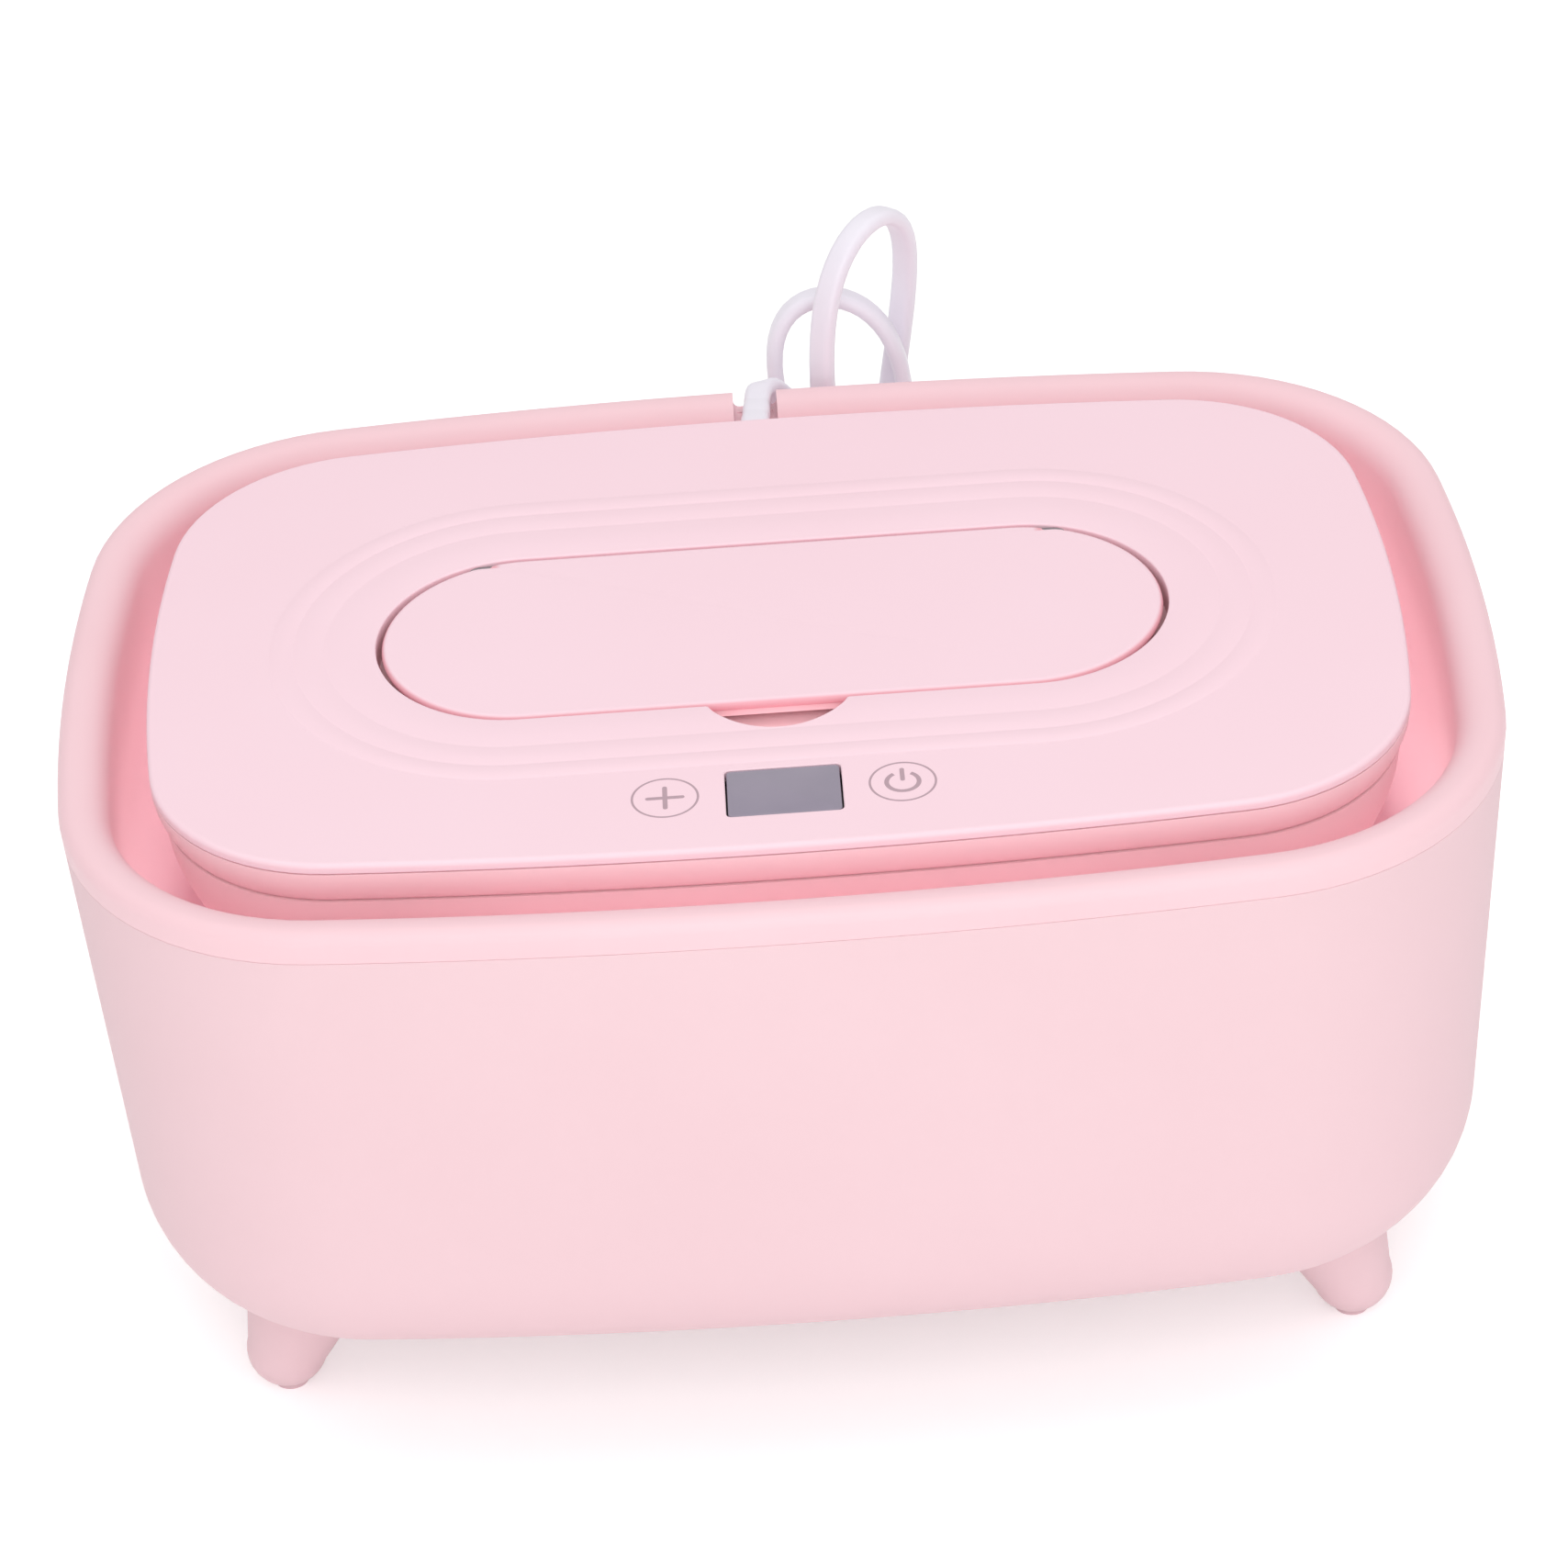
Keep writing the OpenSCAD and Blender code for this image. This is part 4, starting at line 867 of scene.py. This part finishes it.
# ---- Key prints ----
# Each touch key is only a screen print on the cover: a fine ring round a plus sign on the left
# and round a power sign on the right, in a greyish mauve ink.
key_x = 20.15
key_ring_r = 5.6
key_line = 0.4
ink_low = lid_z - 0.05
ink_top = lid_z + 0.012


def band_strip(name, centre, radius, width, start, end, steps):
    """A flat inked stroke along an arc, as thin as ink; a whole turn closes on itself."""
    whole = abs(end - start) > 359.9
    points = []
    count = steps if whole else steps + 1
    for i in range(count):
        a = math.radians(start + (end - start) * i / steps)
        for r in (radius - width / 2, radius + width / 2):
            for z in (ink_low, ink_top):
                points.append((centre[0] + r * math.cos(a), centre[1] + r * math.sin(a), z))
    faces = []
    for i in range(steps):
        a = 4 * i
        b = 4 * ((i + 1) % count)
        for p, q in ((1, 3), (3, 2), (2, 0), (0, 1)):
            faces.append((a + p, a + q, b + q, b + p))
    if not whole:
        last = 4 * steps
        faces.append((0, 2, 3, 1))
        faces.append((last + 1, last + 3, last + 2, last))
    return piece(name, points, faces)


def ink_sign(name, centre, arms, reach, half_wid):
    """A flat inked sign of round-ended arms at right angles: four make a plus, two a stroke."""
    turn = 2 * math.pi / arms
    outline = []
    for k in range(arms):
        a = math.pi / 2 + turn * k
        tip = ((reach - half_wid) * math.cos(a), (reach - half_wid) * math.sin(a))
        outline += arc(tip, half_wid, a - math.pi / 2, a + math.pi / 2, 8)
        if arms == 4:
            inner = a + turn / 2
            corner = half_wid * math.sqrt(2)
            outline.append((corner * math.cos(inner), corner * math.sin(inner)))
    return prism(name, [(x + centre[0], y + centre[1]) for x, y in outline], 2, ink_low, ink_top)


ink = finish("key_ink", (192, 163, 173), (186, 157, 168), 1.5, (0.5, 0.6), 0.3, 0.002)
left_key = (-key_x, panel_y)
right_key = (key_x, panel_y)
plus_arm = 3.35
plus_half_t = 0.42
power_r = 2.75
power_line = 0.8
power_gap = 32
stem_up = 2.1
stem_reach = 1.9
prints = [
    band_strip("key_ring_left", left_key, key_ring_r, key_line, 0, 360, 96),
    band_strip("key_ring_right", right_key, key_ring_r, key_line, 0, 360, 96),
    ink_sign("plus_sign", left_key, 4, plus_arm, plus_half_t),
    band_strip("power_arc", right_key, power_r, power_line, 90 + power_gap, 450 - power_gap, 60),
    ink_sign("power_stem", (key_x, panel_y + stem_up), 2, stem_reach, power_line / 2),
]
for print_piece in prints:
    fitted(print_piece, "lid", "lid_plastic", ink)

# ---- Flap ----
# The flap is a thin pink panel with a full round edge, where painted shade gives a deeper pink.
# It closes the opening flush, and its rear corners are bevelled so that it can stand upright.
# Heat stakes hold a second panel beneath it with the silicone seal, and two steel pins hinge it.
flap_half_len = 69.6
flap_half_wid = 25.7
flap_t = 2
edge_r = flap_t / 2
face_inset = 0.5
hinge_y = flap_half_wid + flap_centre_y - edge_r
hinge_z = lid_z - edge_r
bevel_start = 48.4
bevel_foot = 54.4
bevel_end = 60
bevel_depth = 0.75
bevel_in = 1.3
# Painted shade: the flap's round edge turns a deeper pink below its face.
edge_shade_colour = (246, 180, 191)
edge_shade_top = lid_z - 0.03
edge_shade_fade = 0.3


def paint_shade_below(material, colour, top, fade):
    """Paints shade as a deeper colour below a height, over a fade, both in millimetres."""
    tree = material.node_tree
    parts = tree.nodes.new("ShaderNodeSeparateXYZ")
    tree.links.new(tree.nodes["Texture Coordinate"].outputs["Object"], parts.inputs["Vector"])
    share = tree.nodes.new("ShaderNodeMapRange")
    share.inputs["From Min"].default_value = (top - fade) * MM
    share.inputs["From Max"].default_value = top * MM
    tree.links.new(parts.outputs["Z"], share.inputs["Value"])
    blend = tree.nodes.new("ShaderNodeMixRGB")
    blend.inputs["Color1"].default_value = linear(*colour)
    tree.links.new(share.outputs["Result"], blend.inputs["Fac"])
    tree.links.new(tree.nodes["Color Ramp"].outputs["Color"], blend.inputs["Color2"])
    shader = tree.nodes["Principled BSDF"]
    tree.links.new(blend.outputs["Color"], shader.inputs["Base Color"])


flap_rings = []
for i in range(13):
    a = math.pi * i / 12 - math.pi / 2
    inset = edge_r * (1 - math.cos(a))
    z = hinge_z + edge_r * math.sin(a)
    flap_rings.append(
        stadium_ring(flap_half_len - inset, flap_half_wid - inset, z, flap_centre_y)
    )
face_half_len = flap_half_len - edge_r - face_inset
face_half_wid = flap_half_wid - edge_r - face_inset
flap_rings.append(stadium_ring(face_half_len, face_half_wid, lid_z, flap_centre_y))
flap = loft("flap", flap_rings)
bevel_corners = (
    (bevel_start, edge_r),
    (bevel_foot, -bevel_depth),
    (bevel_end, -bevel_depth),
    (bevel_end, flap_t),
    (bevel_start, flap_t),
)
for sx in (-1, 1):
    bevel_outline = [(hinge_z + rise, sx * x) for x, rise in bevel_corners]
    corner_bevel = prism("corner_bevel", bevel_outline, 1, hinge_y - bevel_in, hinge_y + 3)
    joined(flap, corner_bevel, "DIFFERENCE")
flap_pink_edge_shade = finish("flap_pink_satin_edge_shade", *lid_colours, 80, (0.46, 0.54), 0.5, 0.003)
# Painted shade on the flap's round edge, a deeper pink below its face.
paint_shade_below(flap_pink_edge_shade, edge_shade_colour, edge_shade_top, edge_shade_fade)
fitted(flap, "flip", "lid_plastic", flap_pink_edge_shade, "flip_lid")
painted(well_pink, "flip_inner_panel")
pin_steel = finish(
    "pin_steel", (158, 150, 154), (136, 128, 132), 0.8, (0.4, 0.55), 0.1, 0.002, (0.1, 1, 1), 1
)
painted(pin_steel, "hinge_pins")

# ---- Lead ----
# The flat two-core lead comes out of the lid in a ribbed white sleeve, drops behind the tub and
# is folded for storage into a hank with end loops, tied at its waist; from under the tie it
# goes down to its plug on the floor. The jacket is soft bluish-white vinyl.
lead_w = 5.2
lead_t = 3.2
lead_corner_r = 1.45
relief_out = 14
relief_flange = 1.6
relief_wall_y = 2.9
relief_tip_w = 5.2
relief_tip_h = 3.5
relief_ribs = 3
relief_groove = 0.25
flange_grow = 3
head_corner_r = 1.1
rib_corner_r = 1.3
rib_start = 0.6
rib_steps = 10


def flat_section(wide, thick, corner_r, steps=4):
    """Round-cornered section, anticlockwise, as pairs across and through the flat of the lead."""
    section = []
    for i, (sx, sy) in enumerate(((1, 1), (-1, 1), (-1, -1), (1, -1))):
        centre = (sx * (wide / 2 - corner_r), sy * (thick / 2 - corner_r))
        section += arc(centre, corner_r, i * math.pi / 2, (i + 1) * math.pi / 2, steps)
    return section


def swept(name, path, sections):
    """A tube through (place, width direction) pairs, with its section at each."""
    places = [place for place, _ in path]
    rings = []
    flat = None
    for i, (place, across) in enumerate(path):
        run = (places[min(i + 1, len(path) - 1)] - places[max(i - 1, 0)]).normalized()
        across = (across - across.dot(run) * run).normalized()
        if flat is not None and across.dot(flat) < 0:
            across = -across
        flat = across
        through = run.cross(across)
        rings.append([place + a * across + b * through for a, b in sections[i]])
    return loft(name, rings)


relief_base = Vector((relief_x, relief_y, relief_z))
relief_across = Vector((-math.cos(relief_turn), -math.sin(relief_turn), 0))
sleeve_path = []
sleeve_sections = []
sleeve_head = (
    (-relief_flange, relief_w + flange_grow),
    (-0.01, relief_w + flange_grow),
    (0, relief_w),
    (relief_wall_y, relief_w),
)
for along, wide in sleeve_head:
    sleeve_path.append((relief_base + along * relief_axis, relief_across))
    sleeve_sections.append(flat_section(wide, relief_h, head_corner_r))
sleeve_count = relief_ribs * rib_steps
for i in range(sleeve_count + 1):
    u = i / sleeve_count
    swell = 0.5 + 0.5 * math.cos(2 * math.pi * relief_ribs * u)
    groove_depth = relief_groove * (1 - swell**0.5)
    wide = relief_w + (relief_tip_w - relief_w) * u - groove_depth
    thick = relief_h + (relief_tip_h - relief_h) * u - groove_depth
    along = relief_wall_y + rib_start + (relief_out - rib_start) * u
    sleeve_path.append((relief_base + along * relief_axis, relief_across))
    sleeve_sections.append(flat_section(wide, thick, min(rib_corner_r, thick / 2 - 0.3)))
sleeve = swept("lead_sleeve", sleeve_path, sleeve_sections)
jacket_white = finish(
    "jacket_white", (246, 241, 250), (241, 236, 246), 25, (0.32, 0.42), 0.6, 0.004
)
fitted(sleeve, "lid", "lead_white", jacket_white, "strain_relief")

inner_len = 20
inner_path = [
    (relief_base - (relief_flange + inner_len * u) * relief_axis, relief_across)
    for u in (1, 0.8, 0.6, 0.4, 0.2, 0)
]
lead_section = flat_section(lead_w, lead_t, lead_corner_r)
inner_run = swept("lead_inside", inner_path, [lead_section] * len(inner_path))
fitted(inner_run, "lid", "lead_white", jacket_white, "inner_lead")
clamp_grey = finish("clamp_grey", (230, 226, 231), (220, 216, 222), 6, (0.45, 0.6), 0.4, 0.008)
painted(clamp_grey, "cord_clamp")

relief_tip = relief_base + (relief_out + relief_wall_y) * relief_axis
lead_route = [
    (0.9, 88, 127.3),
    (2.2, 90.4, 126.2),
    (3.9, 92.6, 123.8),
    (5.8, 94.5, 120.4),
    (7.9, 95.9, 116.2),
    (10, 96.8, 111.8),
    (12, 97.5, 107.4),
    (14.5, 98.6, 102),
    (17.2, 100.1, 96.8),
    (19, 101, 91.2),
    (19, 101, 86),
]
hank_x = 19
hank_y = 101
waist_z = 78
hank_r = 6.8
# Each end loop: slot angle and radius where it starts and ends, angle of its plane, way up or
# down, height, half width, lean and shift of its far end
hank_loops = [
    (150, 0, 300, hank_r, 150, -1, 65, 10.5, (0, 0), (0, 0)),
    (-60, hank_r, 120, hank_r, -45, 1, 36, 16, (0, 0), (0, 0)),
    (120, hank_r, 360, hank_r, 150, -1, 70.6, 18.5, (0, 0), (0, 0)),
    (0, hank_r, 180, hank_r, 0, 1, 57, 19, (-2, 6), (-2.5, 2)),
    (180, hank_r, 420, hank_r, 210, -1, 75.6, 16.5, (0, 0), (0, 0)),
    (60, hank_r, 240, hank_r, 48, 1, 76, 21.5, (3, 3), (2.3, 0)),
]
loop_steps = 48
waist_entry = 4
last_slot = math.radians(240)
exit_run = 5
fall_heading = -30
fall_turn = -60
fall_turn_rows = 7
plug_route = [
    (15.2, 93.7, 61),
    (14.6, 91.8, 53),
    (13.6, 90.2, 45),
    (12, 88.8, 36.5),
    (9.5, 88, 27.5),
    (4.5, 88.5, 18.5),
    (-2, 90.5, 11),
    (-10, 94, 6),
    (-18.5, 98, 3.6),
    (-26, 101.5, 4.2),
    (-31.5, 103.3, 6.3),
    (-36.5, 103.5, 7.5),
    (-42, 103.5, 7.5),
]


def loop_place(u, a0, r0, a1, r1, az, way, height, wide, lean, shift):
    """Place and width direction at a share u of one end loop of the hank."""
    s = math.sin(math.pi * u)
    c = math.cos(math.pi * u)
    r = r0 if u < 0.5 else r1
    rise = height * s**0.55
    reach = c * (r + (wide - r) * s**0.7)
    slot = a0 if u < 0.5 else a1 - 180
    a = math.radians(az + (slot - az) * (1 - s**0.6))
    k = (rise / height) ** 2
    place = Vector(
        (
            hank_x + reach * math.cos(a) + lean[0] * k + shift[0] * s,
            hank_y + reach * math.sin(a) + lean[1] * k + shift[1] * s,
            waist_z + way * rise,
        )
    )
    return place, Vector((-math.sin(a), math.cos(a), 0))


def eased(pairs, steps):
    """A smooth run through (place, width direction) pairs, with steps between each two."""
    run = []
    for i in range(len(pairs) - 1):
        four = [pairs[min(max(i + k, 0), len(pairs) - 1)] for k in (-1, 0, 1, 2)]
        for j in range(steps):
            t = j / steps
            made = []
            for p0, p1, p2, p3 in zip(*four):
                made.append(
                    0.5
                    * (
                        2 * p1
                        + (p2 - p0) * t
                        + (2 * p0 - 5 * p1 + 4 * p2 - p3) * t**2
                        + (3 * p1 - p0 - 3 * p2 + p3) * t**3
                    )
                )
            run.append(tuple(made))
    return run + [pairs[-1]]


drop = [relief_tip, relief_tip + 2 * relief_axis] + [Vector(p) for p in lead_route]
drop_pairs = []
for i, place in enumerate(drop):
    a = math.pi / 2 * i / (len(drop) - 1)
    drop_pairs.append((place, Vector((-math.cos(a), -math.sin(a), 0))))
cord_path = eased(drop_pairs, 6)
cord_path.append((Vector((hank_x, hank_y, waist_z + waist_entry)), Vector((0, 1, 0))))
for loop in hank_loops:
    for i in range(loop_steps):
        share = (1 - math.cos(math.pi * i / loop_steps)) / 2
        cord_path.append(loop_place(share, *loop))
hank_exit = Vector(
    (hank_x + hank_r * math.cos(last_slot), hank_y + hank_r * math.sin(last_slot), waist_z)
)
cord_path.append((hank_exit, Vector((-math.sin(last_slot), math.cos(last_slot), 0))))
fall = [hank_exit - Vector((0, 0, run)) for run in (exit_run, exit_run + lead_w)]
fall += [Vector(p) for p in plug_route]
fall_pairs = []
for i, place in enumerate(fall):
    a = math.radians(fall_heading + fall_turn * max(0, min(1, (i - 1) / fall_turn_rows)))
    fall_pairs.append((place, Vector((math.cos(a), math.sin(a), 0))))
cord_path += eased(fall_pairs, 6)
cord = swept("power_cord", cord_path, [lead_section] * len(cord_path))
fitted(cord, "lid", "lead_white", jacket_white, "power_lead", "lead_hank", "plug_lead")

# ---- Hank tie ----
# A narrow strip of soft white vinyl holds the hank at its waist, as the lead comes packed. It
# goes once round all the strands and lies flat against them.
tie_r = 9.55
tie_half_t = 0.5
tie_half_h = 2.45
tie_steps = 72
tie_section = flat_section(2 * tie_half_h, 2 * tie_half_t, 0.3, 3)
tie_rings = []
for i in range(tie_steps):
    a = 2 * math.pi * i / tie_steps
    tie_rings.append(
        [
            (
                hank_x + (tie_r + out) * math.cos(a),
                hank_y + (tie_r + out) * math.sin(a),
                waist_z + up,
            )
            for up, out in tie_section
        ]
    )
tie = loft("hank_strip", tie_rings, closed=True)
tie_white = finish("tie_white", (232, 231, 236), (222, 221, 227), 4, (0.4, 0.5), 0.5, 0.01)
fitted(tie, "lid", "lead_white", tie_white, "hank_tie")

# ---- Plug ----
# A flat two-blade mains plug is moulded onto the end of the lead in the same white vinyl, with
# a waisted neck and a broad grip; its blades are nickel-plated brass.
plug_w = 22
plug_h = 14
plug_corner_share = 0.36
plug_profile = [
    (0, 6.6, 4.8),
    (5, 7.2, 5.6),
    (10, 9, 7),
    (11.5, 14, 10),
    (15, 20, 13),
    (20, plug_w, plug_h),
    (29, plug_w, plug_h),
    (31, plug_w - 2, plug_h - 2),
]
plug_start = Vector(plug_route[-1])
plug_rows = eased([tuple(float(v) for v in row) for row in plug_profile], 5)
plug_path = []
plug_sections = []
for back, wide, thick in plug_rows:
    plug_path.append((plug_start - Vector((back, 0, 0)), Vector((0, -1, 0))))
    wide = min(wide, plug_w)
    thick = min(thick, plug_h)
    plug_sections.append(flat_section(wide, thick, thick * plug_corner_share))
plug = swept("plug_moulding", plug_path, plug_sections)
fitted(plug, "lid", "lead_white", jacket_white, "plug_body")
blade_nickel = finish(
    "blade_nickel", (214, 210, 200), (190, 186, 176), 2, (0.18, 0.3), 0.2, 0.003, (0.15, 1, 1), 1
)
painted(blade_nickel, "plug_pins")

# ---- Studio ----
# A floor that shows white but keeps the shadow, and a white surround, under a large soft light,
# one from the camera's side and a low one for the feet. Two very weak lamps, in the tub and in
# the finger scoop, stand in for the glow in the gaps round the lid and the flap.
floor_half = 4000
floor_corners = ((-1, -1), (1, -1), (1, 1), (-1, 1))
floor = piece(
    "floor",
    [(sx * floor_half, sy * floor_half, 0) for sx, sy in floor_corners],
    [(0, 1, 2, 3)],
)


def larger(tree, first, second):
    """The larger of two values, in the floor's material or in the surround."""
    pick = tree.nodes.new("ShaderNodeMath")
    pick.operation = "MAXIMUM"
    tree.links.new(first, pick.inputs[0])
    tree.links.new(second, pick.inputs[1])
    return pick.outputs["Value"]


floor_white = bpy.data.materials.new("floor_white")
floor_white.use_nodes = True
floor_tree = floor_white.node_tree
floor_shader = floor_tree.nodes["Principled BSDF"]
floor_shader.inputs["Base Color"].default_value = linear(250, 250, 250)
floor_shader.inputs["Roughness"].default_value = 0.9
rays = floor_tree.nodes.new("ShaderNodeLightPath")
seen = larger(floor_tree, rays.outputs["Is Camera Ray"], rays.outputs["Is Glossy Ray"])
seen = larger(floor_tree, seen, rays.outputs["Is Transmission Ray"])
lift = floor_tree.nodes.new("ShaderNodeMath")
lift.operation = "MULTIPLY"
lift.inputs[1].default_value = 0.35
floor_tree.links.new(seen, lift.inputs[0])
floor_shader.inputs["Emission Color"].default_value = (1, 1, 1, 1)
floor_tree.links.new(lift.outputs["Value"], floor_shader.inputs["Emission Strength"])
floor.data.materials.append(floor_white)

world = bpy.data.worlds.new("surround")
bpy.context.scene.world = world
world.use_nodes = True
world_tree = world.node_tree
surround = world_tree.nodes["Background"]
surround.inputs["Color"].default_value = (1, 1, 1, 1)
rays = world_tree.nodes.new("ShaderNodeLightPath")
seen = larger(world_tree, rays.outputs["Is Camera Ray"], rays.outputs["Is Transmission Ray"])
world_level = world_tree.nodes.new("ShaderNodeMapRange")
world_level.inputs["To Min"].default_value = 0.62
world_level.inputs["To Max"].default_value = 1
world_tree.links.new(seen, world_level.inputs["Value"])
world_tree.links.new(world_level.outputs["Result"], surround.inputs["Strength"])


def soft_light(name, place, aim, size, watts):
    """A soft light of a length and width that faces a point, in metres."""
    lamp = bpy.data.lights.new(name, "AREA")
    lamp.shape = "RECTANGLE"
    lamp.size, lamp.size_y = size
    lamp.energy = watts
    holder = bpy.data.objects.new(name, lamp)
    holder.location = place
    holder.rotation_mode = "QUATERNION"
    holder.rotation_quaternion = (Vector(aim) - Vector(place)).to_track_quat("-Z", "Y")
    bpy.context.scene.collection.objects.link(holder)
    return holder


middle = (0, 0, 0.1)
tub_lamp_place = (0.004, -0.004, 0.06)
tub_lamp_aim = (0.004, -0.004, 0.1)
scoop_lamp_place = (0, -0.029, 0.1305)
scoop_lamp_aim = (0, -0.029, 0.12)
soft_light("light_above", (0, 0.2, 1.6), middle, (1.6, 1.6), 6.2)
soft_light("light_front", (0.05, -0.9, 0.95), middle, (0.5, 0.5), 3.0)
soft_light("light_low", (0.1, -1.4, 0.35), (0, 0, 0.03), (0.7, 0.5), 2.7)
hidden_lamps = (
    soft_light("light_in_tub", tub_lamp_place, tub_lamp_aim, (0.18, 0.12), 0.098),
    soft_light("light_in_scoop", scoop_lamp_place, scoop_lamp_aim, (0.02, 0.003), 0.0002),
)
for lamp in hidden_lamps:
    lamp.visible_camera = False

# ---- Camera ----
# It looks down at the front from the photograph's place, rolled a little. Its place, turn and
# focal length were fitted to the outlines of the tub and the lid.
photo_px = 1708
focal_px = 5398.4
sensor_w = 36
camera_place = Vector((-0.6, -740.3, 611.0)) * MM
camera_turn = -0.001
camera_rise = 0.608
camera_roll = -0.069
back = Vector(
    (
        math.sin(camera_turn) * math.cos(camera_rise),
        -math.cos(camera_turn) * math.cos(camera_rise),
        math.sin(camera_rise),
    )
)
level = (-back).cross(Vector((0, 0, 1))).normalized()
upright = level.cross(-back)
right = math.cos(camera_roll) * level + math.sin(camera_roll) * upright
up = math.cos(camera_roll) * upright - math.sin(camera_roll) * level
camera = bpy.data.objects.new("camera", bpy.data.cameras.new("camera"))
camera.data.sensor_width = sensor_w
camera.data.lens = sensor_w * focal_px / photo_px
facing = Matrix((right, up, back)).transposed().to_4x4()
camera.matrix_world = Matrix.Translation(camera_place) @ facing
bpy.context.scene.collection.objects.link(camera)
bpy.context.scene.camera = camera
bpy.context.scene.view_settings.view_transform = "Standard"
